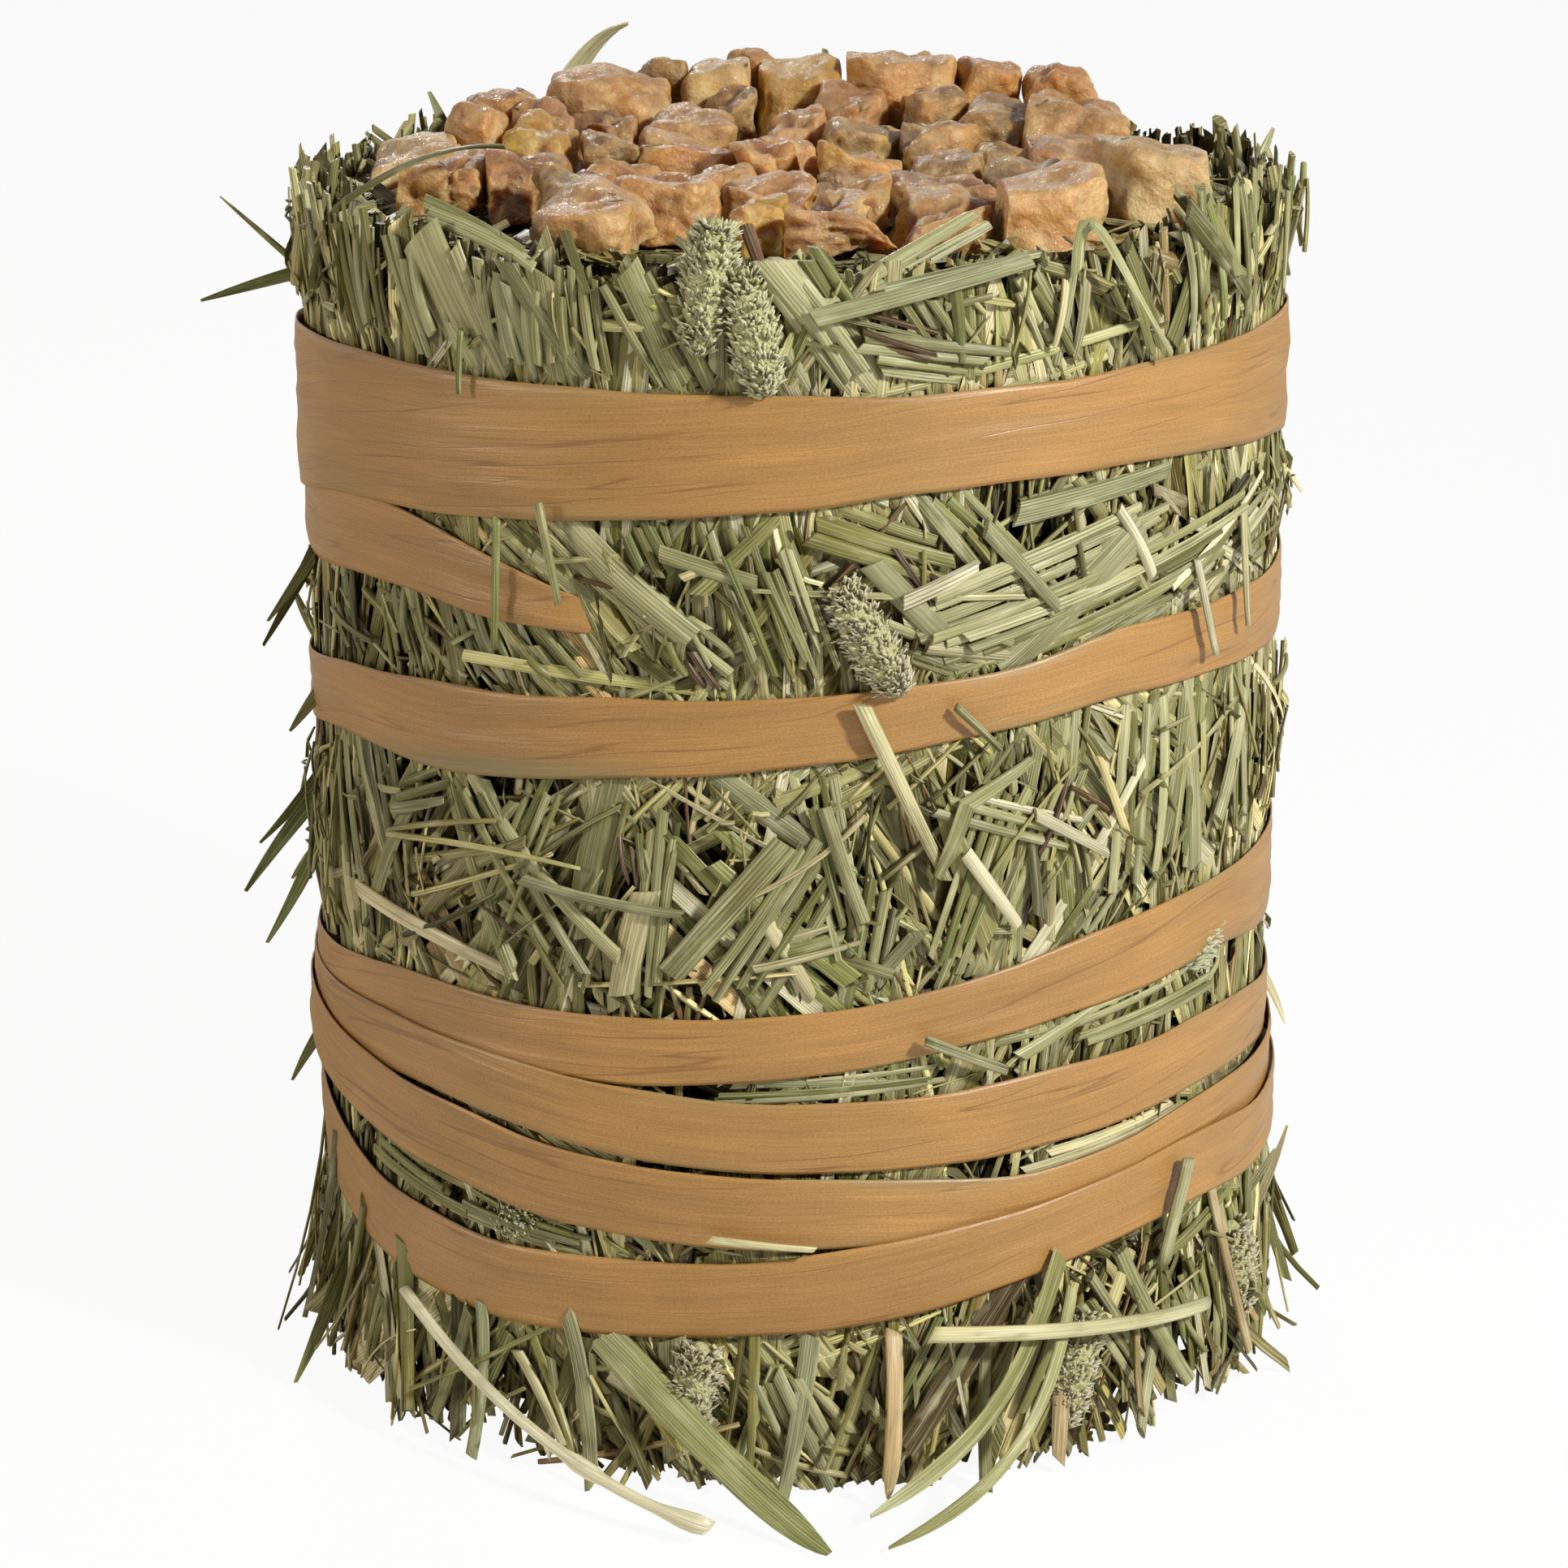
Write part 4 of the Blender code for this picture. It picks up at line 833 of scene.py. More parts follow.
def clump_slope(rng, azimuth, height):
    """The slope of each stem: neighbours lean alike, the sides stand upright, some lie any way."""
    turn = from_front(azimuth)
    waves = np.sin(turn * 0.11 + height * 0.12 + 1.3) + np.sin(turn * 0.06 - height * 0.16 + 4.0)
    middle = 90 + 24 * waves
    crossed = (np.abs(turn) < 45) & (height > 78) & (height < 99)
    middle = np.where(crossed, 90 - 0.85 * turn, middle)
    upright = (np.abs(turn) > 58) | (height > 107)
    middle = np.where(upright, 90, middle)
    spread_by = np.where(upright, 11, 20)
    slope = rng.normal(middle, spread_by)
    any_way = rng.uniform(size=len(turn)) < np.where(upright, 0.09, 0.26)
    return np.where(any_way, rng.uniform(0, 180, len(turn)), slope)


def free_places(rng, count, low, high, hidden_share, first=0.0, last=360.0):
    """Places on the side between two azimuths, few of them under the ribbon."""
    azimuth = rng.uniform(first, last, count * 4)
    height = rng.uniform(low, high, count * 4)
    open_hay = room_at(azimuth, height) > -1.2
    kept = open_hay | (rng.uniform(size=count * 4) < hidden_share)
    return azimuth[kept][:count], height[kept][:count]


def in_bundles(rng, azimuth, height, slope, width):
    """Lays stems in bundles, side by side, and says which stem is the first of each one's bundle."""
    count = len(azimuth)
    sizes = rng.choice((1, 1, 2, 3, 4, 6), count)
    first = np.repeat(np.arange(count), sizes)[:count]
    place = np.arange(count) - np.searchsorted(first, first)
    off = (place - (sizes[first] - 1) / 2) * width[first] * 1.03
    along = rng.normal(0, 2.0, count)
    slope = slope[first] + rng.normal(0, 2.5, count)
    turn = np.radians(slope)
    azimuth = azimuth[first] + np.degrees((np.cos(turn) * along - np.sin(turn) * off) / BEND_RADIUS)
    height = height[first] + np.sin(turn) * along + np.cos(turn) * off
    return azimuth, height, slope, width[first] * rng.uniform(0.85, 1.12, count), first


def rim_top(azimuth):
    """The height of the cut stem ends round the apple bed."""
    turn = from_front(azimuth)
    return 117.4 + 2.8 * np.clip((np.abs(turn) - 25) / 40, 0, 1) + 0.6 * np.sin(turn * 0.13)


def side_layer(name, rng, count, radii, look, turns=(0.0, 360.0)):
    """A layer of stems on the side, between two radii and between two azimuths.

    look: stem ring, stations, middle length and shade.
    """
    ring, stations, long, shade = look
    settings = bpy.context.scene.bale_hay
    azimuth, height = free_places(rng, count, 4.0, 118.0, 0.12, *turns)
    count = len(azimuth)
    azimuth, height, slope, width, first = in_bundles(
        rng, azimuth, height, clump_slope(rng, azimuth, height), stem_widths(rng, count))
    length = np.clip(np.exp(rng.normal(math.log(long), 0.36, count)), 6.0, 50)
    round_share = some_round(rng, count, 0.3, 0.4)[first]
    width = slim_culms(width, round_share, 1.7)
    poking = np.where(rng.uniform(size=count) < 0.06, rng.uniform(0.6, 2.4, count), 0.0)
    height = np.minimum(height, 117.0)
    radius = rng.uniform(*radii, count)[first] + rng.normal(0, 0.15, count)
    lines = lay_stems(
        rng, azimuth, height, slope, length, width, round_share, radius,
        {"stations": stations, "bulge": settings.bulge / MM, "free_lift": poking,
         "top": rim_top(azimuth) + rng.uniform(-1.5, 1.5, count)},
    )
    split = (round_share == 0) & (rng.uniform(size=count) < 0.16)
    cup = np.where(split, -rng.uniform(0.12, 0.3, count), rng.uniform(-0.02, 0.16, count))
    cup = np.where(round_share > 0, 0.0, cup)
    root, tip = pick_tones(rng, count, shade=shade)
    alike = (rng.uniform(size=count) < 0.6)[:, None]
    root, tip = np.where(alike, root[first], root), np.where(alike, tip[first], tip)
    # Stems that lie deeper in their layer are painted darker and browner, as painted shade.
    level = 0.45 + 0.55 * np.clip((radius - radii[0]) / (radii[1] - radii[0]), 0, 1)[:, None]
    painted_layer_shade = level ** np.array((1.0, 1.05, 1.5))
    root, tip = root * painted_layer_shade, tip * painted_layer_shade
    stems = Stems(
        *lines, cup, rng.uniform(-1.2, 1.2, count), root, tip, split.astype(float))
    return join_stems(name, stems, ring, rng)


def bundle_rows(rng):
    """The stems of every bundle, side by side with uneven ends, in the rows of LONG_STEMS."""
    rows = []
    for azimuth_0, height_0, azimuth_1, height_1, width, count, tone in BUNDLES:
        width, count = BUNDLE_SLIMMER * width, round(BUNDLE_FULLER * count)
        girth, rise = math.radians(azimuth_1 - azimuth_0) * TABLE_RADIUS, height_1 - height_0
        long = math.hypot(girth, rise)
        for k in range(count):
            off = (k - (count - 1) / 2) * width * 1.02
            fan = rng.uniform(0.8, 1.35)
            ends = []
            for azimuth, height, side, share in (
                (azimuth_0, height_0, -1, 1.0), (azimuth_1, height_1, 1, fan),
            ):
                along = side * rng.uniform(-2.6, 1.4)
                across = off * share + rng.uniform(-0.3, 0.3)
                round_by = (girth * along - rise * across) / long / TABLE_RADIUS
                ends.append(azimuth + math.degrees(round_by))
                ends.append(height + (rise * along + girth * across) / long)
            others = ("sage", "olive", "pale_sage", "green")
            own = tone if rng.uniform() < 0.6 else rng.choice(others)
            rows.append((
                *ends, width * rng.uniform(0.75, 1.15), rng.choice((0.0, 0.25, 0.6)), own,
                rng.uniform(0.9, 1.6)))
    return rows


def between_ends(data):
    """Middle azimuth, middle height, slope and length of stems, from a table of their ends."""
    girth = np.radians(data[:, 2] - data[:, 0]) * TABLE_RADIUS
    rise = data[:, 3] - data[:, 1]
    middle, height = (data[:, 0] + data[:, 2]) / 2, (data[:, 1] + data[:, 3]) / 2
    return middle, height, np.degrees(np.arctan2(rise, girth)), np.hypot(girth, rise)


def named_stems(rng, rows, stations, over=False):
    """Stems from a table: the ends' azimuths and heights, width, roundness, tone and lift."""
    data = np.array([row[:6] for row in rows], float)
    lift = np.array([row[7] for row in rows])
    lines = lay_stems(
        rng, *between_ends(data), data[:, 4], data[:, 5], 49.2 + lift,
        {"stations": stations, "bulge": 3.0, "over": over, "bend": 0.02, "roll": 8.0, "tilt": 0.2},
    )
    tones = tones_of(rows, 6)
    level = rng.uniform(0.62, 1.0, len(rows))[:, None] * (1.0, 0.98, 0.95)
    return Stems(
        *lines, np.where(data[:, 5] > 0.45, 0.0, 0.09),
        rng.uniform(-0.9, 0.9, len(rows)), tones * level, tones * level * 0.92,
        np.zeros(len(rows)))


def bezier(points, t):
    """The point at t on the Bezier curve through three or four control points."""
    while len(points) > 1:
        points = [a.lerp(b, t) for a, b in zip(points, points[1:])]
    return points[0]


def give_stems(name, stems, ring, rng, material=None):
    """Joins stems into one piece of the hay."""
    give_piece(join_stems(name, stems, ring, rng), "hay", material or hay_material())


def hay_material(name="cured_timothy", fluting=1.0, gloss=0.17):
    """Cured timothy: dried grass with a waxy skin, crushed in the press.

    The skin has fine lengthwise veins with darker grooves between, deeper on some stems than on
    others, with a gloss along the veins, under the tone that the stem carries. The grooves are the
    leaf's darker green and partly painted shade, and the pale streaks are partly pale ribs and
    partly painted highlight. Culms are smoother, and stems deep in the hay have no gloss.
    """
    if name in bpy.data.materials:
        return bpy.data.materials[name]
    material, tree, shader = new_material(name)
    tone = add_node(tree, "Attribute", attribute_name="tone").outputs["Color"]
    fibre = add_node(tree, "Attribute", attribute_name="fibre").outputs["Vector"]
    # Veins 0.2 to 0.5 mm apart that waver a little.
    placed = add_node(tree, "Mapping", {"Vector": fibre, "Scale": (0.78, 0.016, 1.0)})
    veins = add_node(tree, "TexWave", {
        "Vector": placed, "Scale": 1.0, "Distortion": 2.2, "Detail": 1.0,
    }, bands_direction="X").outputs["Fac"]
    # Dark and pale streaks 0.15 mm wide, bands 1 mm wide and splits 0.3 mm wide, all far longer
    # than wide, and bleached or browned blotches 6 mm long. The third number is the same all
    # over a stem, so the last pattern gives each stem its own depth of fluting.
    streaks, bands, splits, blotches, own = (
        add_node(tree, "TexNoise", {
            "Vector": add_node(tree, "Mapping", {"Vector": fibre, "Scale": scale}),
            "Scale": 1.0, "Detail": detail, "Roughness": 0.55})
        for scale, detail in (
            ((6.5, 0.12, 1.0), 2.0), ((0.95, 0.03, 1.0), 2.0), ((3.2, 0.035, 1.0), 2.0),
            ((0.45, 0.16, 1.0), 3.0), ((0.0, 0.0, 1.0), 0.0))
    )
    fluted = add_node(tree, "MapRange", (own, 0.36, 0.60, 0.25 * fluting, 1.0 * fluting))
    faint = add_node(tree, "MapRange", (blotches, 0.62, 0.40, 0.45, 1.0))
    fluted = add_node(tree, "Math", (fluted, faint), operation="MULTIPLY")
    groove = add_node(tree, "MapRange", (veins, 0.42, 0.12, 0.0, 0.75))
    split = add_node(tree, "MapRange", (splits, 0.44, 0.36, 0.0, 1.0))
    groove = add_node(tree, "Math", (groove, split), operation="MAXIMUM")
    groove = add_node(tree, "Math", (groove, fluted), operation="MULTIPLY")
    colour = shaded_along(tree, tone, ((bands, 0.82, 1.14), (streaks, 0.74, 1.18)))
    # Bleached, pale and aged parts. The pale streaks are partly pale ribs and partly painted
    # highlight.
    colour = patched(tree, colour, (
        (blotches, 0.56, 0.78, 0.45, "#D9D2A8"), (streaks, 0.54, 0.72, 0.32, "#E2DFC6"),
        (blotches, 0.42, 0.24, 0.5, "#6F6036")))
    # The grooves are painted darker and browner: the leaf's darker green and partly painted shade.
    sunk = add_node(tree, "VectorMath", {0: colour, "Scale": 0.34}, operation="SCALE")
    sunk = add_node(tree, "Mix", {0: 0.25, 6: sunk, 7: opaque("#4B4B1A")}, data_type="RGBA")
    colour = add_node(tree, "Mix", {0: groove, 6: colour, 7: sunk}, data_type="RGBA")
    proud = add_node(tree, "Math", (groove, -1.0, streaks), operation="MULTIPLY_ADD")
    set_inputs(tree, shader, {
        "Base Color": colour,
        "Roughness": add_node(tree, "MapRange", (streaks, 0.3, 0.7, 0.42, 0.22)),
        "Specular IOR Level": gloss,
        "Normal": add_node(tree, "Bump", {"Strength": 0.6, "Distance": 0.0001, "Height": proud}),
    })
    return material


class HAYBALE_OT_pressed_mass(bpy.types.Operator):
    """The pressed mass that shows between the stems, painted dark as painted shade, flat under the
    bale
    """

    bl_idname = "haybale.pressed_mass"
    bl_label = "Pressed Mass"

    def execute(self, context):
        profile = [(0.0, 116.0), (43.5, 116.0), (45.8, 115.4), (46.8, 114.0), (46.9, 108.0)]
        profile += [(46.9, 8.0 + (108.0 - 8.0) * (1 - i / 26)) for i in range(1, 27)]
        profile += [(46.2, 5.0), (44.0, 2.8), (40.0, 1.2), (36.0, 0.35), (0.0, 0.35)]
        bm = bmesh.new()
        verts = [bm.verts.new((radius * MM, 0.0, height * MM)) for radius, height in profile]
        edges = [bm.edges.new(pair) for pair in zip(verts, verts[1:])]
        bmesh.ops.spin(
            bm, geom=verts + edges, cent=(0, 0, 0), axis=(0, 0, 1), angle=2 * math.pi,
            steps=120, use_merge=True)
        bmesh.ops.remove_doubles(bm, verts=bm.verts, dist=0.00001)
        bmesh.ops.recalc_face_normals(bm, faces=bm.faces)
        for vert in bm.verts:
            if vert.co.z > 2 * MM and vert.co.xy.length > 43 * MM:
                strands = noise.noise(Vector((vert.co.x * 900, vert.co.y * 900, vert.co.z * 160)))
                vert.co.xy *= 1.0 + strands * 0.012
        # Matted broken hay in the gaps, painted dark as painted shade: little light comes back out
        # of it.
        material, tree, shader = new_material("matted_hay")
        where = add_node(tree, "TexCoord").outputs["Object"]
        # Upright strands about 1 mm wide.
        placed = add_node(tree, "Mapping", {"Vector": where, "Scale": (1100.0, 1100.0, 140.0)})
        strands = add_node(tree, "TexNoise", {
            "Vector": placed, "Scale": 1.0, "Detail": 4.0, "Roughness": 0.55})
        share = add_node(tree, "MapRange", (strands, 0.35, 0.70, 0.0, 1.0))
        base = tuple(context.scene.bale_hay.mass_shade_colour)
        dark = tuple(c * 0.35 for c in base)
        set_inputs(tree, shader, {
            "Base Color": add_node(
                tree, "Mix", {0: share, 6: (*dark, 1.0), 7: (*base, 1.0)}, data_type="RGBA"),
            "Roughness": 0.9, "Specular IOR Level": 0.1,
            "Normal": add_node(
                tree, "Bump", {"Strength": 0.8, "Distance": 0.0006, "Height": strands}),
        })
        give_piece(mesh_object("pressed_mass", bm), "hay", material, "pressed_hay")
        return {"FINISHED"}


class HAYBALE_OT_side_stems(bpy.types.Operator):
    """The stems pressed on the bale's side, in three layers, and the long ones on top"""

    bl_idname = "haybale.side_stems"
    bl_label = "Side Stems"

    def execute(self, context):
        material, in_shade = hay_material(), hay_material("timothy_in_shade", 1.0, 0.05)
        total = context.scene.bale_hay.side_stems
        rng = np.random.default_rng(21)
        # Name, share of the stems, radii, look and azimuths, from the deepest layer outwards.
        # A layer's shade is painted into its stems' colours, darkest in the deepest layer: painted
        # shade.
        layers = (
            ("side_stems_deep", 0.33, (46.4, 47.6), (4, 4, 16.0, 0.06), (0.0, 360.0)),
            ("side_stems_middle", 0.32, (47.3, 48.6), (6, 5, 18.0, 0.15), (0.0, 360.0)),
            ("side_stems_outer_front", 0.17, (48.4, 51.4), (8, 6, 25.0, 0.90), (-90.0, 90.0)),
            ("side_stems_outer_back", 0.15, (48.4, 51.4), (6, 6, 22.0, 0.90), (90.0, 270.0)),
        )
        for name, share, radii, look, turns in layers:
            piece = side_layer(name, rng, int(total * share), radii, look, turns)
            give_piece(piece, "hay", material if "outer" in name else in_shade)
        give_stems("long_stems", named_stems(rng, LONG_STEMS, 12), 12, rng)
        give_stems("stem_bundles", named_stems(rng, bundle_rows(rng), 9), 8, rng)
        rows = [row[:5] + (0.5, *row[5:]) for row in STEMS_OVER_RIBBON]
        give_stems("stems_over_ribbon", named_stems(rng, rows, 9, over=True), 10, rng)
        return {"FINISHED"}


class HAYBALE_OT_rim_stems(bpy.types.Operator):
    """The standing cut stems round the apple bed"""

    bl_idname = "haybale.rim_stems"
    bl_label = "Rim Stems"

    def execute(self, context):
        settings = context.scene.bale_hay
        rng = np.random.default_rng(31)
        count = settings.rim_stems
        azimuth = rng.uniform(0, 360, count)
        radius = np.sqrt(rng.uniform(43.4**2, 50.2**2, count))
        length = rng.uniform(6, 17, count)
        width = stem_widths(rng, count)
        round_share = some_round(rng, count, 0.4, 0.5)
        width = slim_culms(width, round_share, 2.1)
        inner = np.clip((47.0 - radius) / 3.5, 0, 1)
        top = rim_top(azimuth) + np.minimum(rng.normal(-0.6, 1.7, count), 2.2) - 1.5 * inner
        any_way = rng.uniform(size=count) < 0.12
        slope = np.where(any_way, rng.uniform(0, 180, count), rng.normal(90, 14, count))
        lines = lay_stems(
            rng, azimuth, top - 3, slope, length, width, round_share, radius,
            {"bulge": settings.bulge / MM, "roll": 40.0, "tilt": 1.0, "top": top},
        )
        split = (round_share == 0) & (rng.uniform(size=count) < 0.2)
        root, tip = pick_tones(rng, count, shade=0.82)
        # Stems further in towards the apple bed are painted darker, as painted shade.
        level = 0.42 + 0.58 * np.clip((radius - 45.0) / 4.5, 0, 1)[:, None]
        root, tip = root * level, tip * level
        stems = Stems(
            *lines, np.where(split, -0.2, 0.06) * (round_share == 0),
            rng.uniform(-1.3, 1.3, count), root, tip, split.astype(float))
        give_stems("rim_stems", stems, 6, rng)
        return {"FINISHED"}


class HAYBALE_OT_foot_stems(bpy.types.Operator):
    """The splayed fringe that hangs round the foot"""

    bl_idname = "haybale.foot_stems"
    bl_label = "Foot Stems"

    def execute(self, context):
        settings = context.scene.bale_hay
        rng = np.random.default_rng(41)
        count = settings.foot_stems
        azimuth = rng.uniform(0, 360, count)
        length = rng.uniform(9, 30, count)
        # The fringe hangs in clumps: here down to the floor, there some millimetres short of it.
        turn = np.radians(azimuth)
        clump = 3.1 + 1.7 * np.sin(turn * 9 + 0.6) + 1.5 * np.sin(turn * 16 + 2.0)
        clump += 1.1 * np.sin(turn * 29)
        tip = np.maximum(clump + rng.normal(0.6, 1.9, count), rng.uniform(0.3, 1.2, count))
        lean = 14 * np.sin(turn * 13 + 1.0) + 9 * np.sin(turn * 31)
        slope = -90 + lean + rng.normal(0, 20, count)
        width = stem_widths(rng, count, 0.85)
        round_share = some_round(rng, count, 0.35, 0.4)
        width = slim_culms(width, round_share, 1.9)
        lines = lay_stems(
            rng, azimuth, tip + length * np.abs(np.sin(np.radians(slope))) / 2, slope, length, width,
            round_share, rng.uniform(46.0, 49.4, count),
            {"bulge": settings.bulge / MM, "roll": 22.0,
             "free_lift": np.abs(rng.normal(2.0, 2.2, count))},
        )
        split = (round_share == 0) & (rng.uniform(size=count) < 0.2)
        tones = MIXED_TONES + (("tan", 8), ("straw", 8), ("husk", 6), ("dark_olive", 8))
        # The fringe under the bale is painted darker, as painted shade.
        root_tone, tip_tone = pick_tones(rng, count, tones, 0.45, 0.36)
        stems = Stems(
            *lines, np.where(split, -0.2, 0.07) * (round_share == 0),
            rng.uniform(-1.5, 1.5, count), root_tone, tip_tone, split.astype(float))
        give_stems("foot_stems", stems, 6, rng)

        data = np.array([row[:5] for row in FOOT_STEMS], float)
        some = np.where(data[:, 4] > 1.8, 0.0, 0.5)
        splay = np.array([row[6] for row in FOOT_STEMS])
        lines = lay_stems(
            rng, *between_ends(data), data[:, 4], some, np.full(len(data), 49.6),
            {"stations": 9, "over": True, "lift": splay, "bend": 0.05},
        )
        # The long stems of the foot are painted darker, most at their tips, as painted shade.
        tones = tones_of(FOOT_STEMS, 5)
        stems = Stems(
            *lines, np.where(some > 0, 0.0, 0.1), rng.uniform(-1.2, 1.2, len(data)),
            tones * 0.8, tones * 0.75, np.zeros(len(data)))
        give_stems("foot_long_stems", stems, 10, rng)
        return {"FINISHED"}


class HAYBALE_OT_chaff(bpy.types.Operator):
    """Broken bits and thin strands between the stems, and litter on the apple bed round and between
    the dice
    """

    bl_idname = "haybale.chaff"
    bl_label = "Chaff"

    def execute(self, context):
        settings = context.scene.bale_hay
        rng = np.random.default_rng(51)
        azimuth, height = free_places(rng, settings.chaff, 2.0, 119.0, 0.0)
        count = len(azimuth)
        lines = lay_stems(
            rng, azimuth, height, rng.uniform(0, 180, count), rng.uniform(1.2, 4.5, count),
            rng.uniform(0.3, 1.1, count), np.where(rng.uniform(size=count) < 0.3, 0.7, 0.0),
            rng.uniform(48.2, 51.6, count),
            {"stations": 3, "bulge": settings.bulge / MM, "roll": 45.0, "top": rim_top(azimuth)},
        )
        root, tip = pick_tones(rng, count, shade=0.8, spread_by=0.25)
        stems = Stems(
            *lines, np.zeros(count), rng.uniform(-1, 1, count), root, tip, np.zeros(count))
        give_stems("hay_chaff", stems, 4, rng)

        azimuth, height = free_places(rng, STRANDS, 2.0, 118.0, 0.0)
        count = len(azimuth)
        lines = lay_stems(
            rng, azimuth, height, clump_slope(rng, azimuth, height), rng.uniform(6, 27, count),
            rng.uniform(0.28, 0.75, count), np.full(count, 0.8), rng.uniform(49.2, 51.6, count),
            {"stations": 7, "bulge": settings.bulge / MM + 0.3, "bend": 0.13,
             "top": rim_top(azimuth) + rng.uniform(-2.0, 1.5, count)},
        )
        root, tip = pick_tones(rng, count, STRAND_TONES, shade=0.76)
        stems = Stems(*lines, np.zeros(count), np.zeros(count), root, tip, np.zeros(count))
        give_stems("hay_strands", stems, 4, rng)

        # Litter of the bed, lying flat round the dice and lower down between them.
        count = LITTER
        angle = rng.uniform(0, 360, count)
        below = np.arange(count) < LITTER_BELOW
        inner, outer = np.where(below, 0.0, 38.5), np.where(below, 40.0, 47.0)
        reach = np.sqrt(rng.uniform(inner**2, outer**2))
        spot = on_bale(angle, reach, rng.uniform(116.0, np.where(below, 117.0, 118.3)))
        heading = rng.uniform(0, 2 * math.pi, count)
        heading = np.stack((np.cos(heading), np.sin(heading), rng.normal(0, 0.22, count)), axis=-1)
        run = rng.uniform(2.0, 8.5, count)[:, None, None] * np.linspace(-0.5, 0.5, 4)[None, :, None]
        width = rng.uniform(0.5, 1.7, count)[:, None] * np.ones((1, 4))
        facing = np.array((0.0, 0.0, 1.0)) + rng.normal(0, 0.35, (count, 1, 3)) * np.ones((1, 4, 1))
        root, tip = pick_tones(rng, count, shade=0.66)
        stems = Stems(
            spot[:, None] + heading[:, None] * run, facing, width, width * 0.3, np.zeros(count),
            rng.uniform(-1, 1, count), root, tip, np.zeros(count))
        give_stems("bed_litter", stems, 4, rng)
        return {"FINISHED"}


class HAYBALE_OT_stray_stems(bpy.types.Operator):
    """The stems that leave the bale"""

    bl_idname = "haybale.stray_stems"
    bl_label = "Stray Stems"

    def execute(self, context):
        rng = np.random.default_rng(61)
        stations = 10
        t = np.linspace(0, 1, stations)
        centre, facing, widths, thick = [], [], [], []
        for root, tip, width, _ in STRAY_STEMS:
            root, tip = np.array(root, float), np.array(tip, float)
            run = tip - root
            outward = unit_vectors(np.array((root[0], root[1], 0.0)))
            bow = np.cross(run, np.cross(outward, run))
            bow = unit_vectors(bow) * np.linalg.norm(run) * rng.uniform(-0.03, 0.06)
            centre.append(root + np.outer(t, run) + np.outer(4 * t * (1 - t), bow))
            # A blade that leaves the side stands on edge to it, so its breadth shows in front.
            if abs(root[0]) > 40:
                outward = unit_vectors(np.cross(run, outward))
            facing.append(np.tile(outward + rng.normal(0, 0.25, 3), (stations, 1)))
            widths.append(width * (1 - 0.8 * t**2.2))
            thick.append(np.full(stations, 0.32) * (1 - 0.5 * t))
        count = len(STRAY_STEMS)
        tones = tones_of(STRAY_STEMS, 3)
        stems = Stems(
            np.array(centre), np.array(facing), np.array(widths), np.array(thick),
            np.full(count, 0.12), rng.uniform(-0.5, 0.5, count), tones * 0.9, tones, np.zeros(count))
        give_stems("stray_stems", stems, 10, rng)

        count = len(CREST_STEMS)
        line = np.array([
            [bezier([Vector(point) for point in row[0]], k / 13) for k in range(14)]
            for row in CREST_STEMS])
        outward = unit_vectors(line * (1, 1, 0)) + np.array((0, 0, 0.8))
        taper = np.array([row[3] for row in CREST_STEMS])[:, None] * np.linspace(0, 1, 14) ** 2
        width = np.array([row[1] for row in CREST_STEMS])[:, None] * (1 - taper)
        tones = tones_of(CREST_STEMS, 2)
        stems = Stems(
            line, outward, width, np.full((count, 14), 0.4), np.full(count, 0.12),
            rng.uniform(-0.9, 0.9, count), tones, tones, np.zeros(count))
        give_stems("crest_stems", stems, 10, rng)
        return {"FINISHED"}


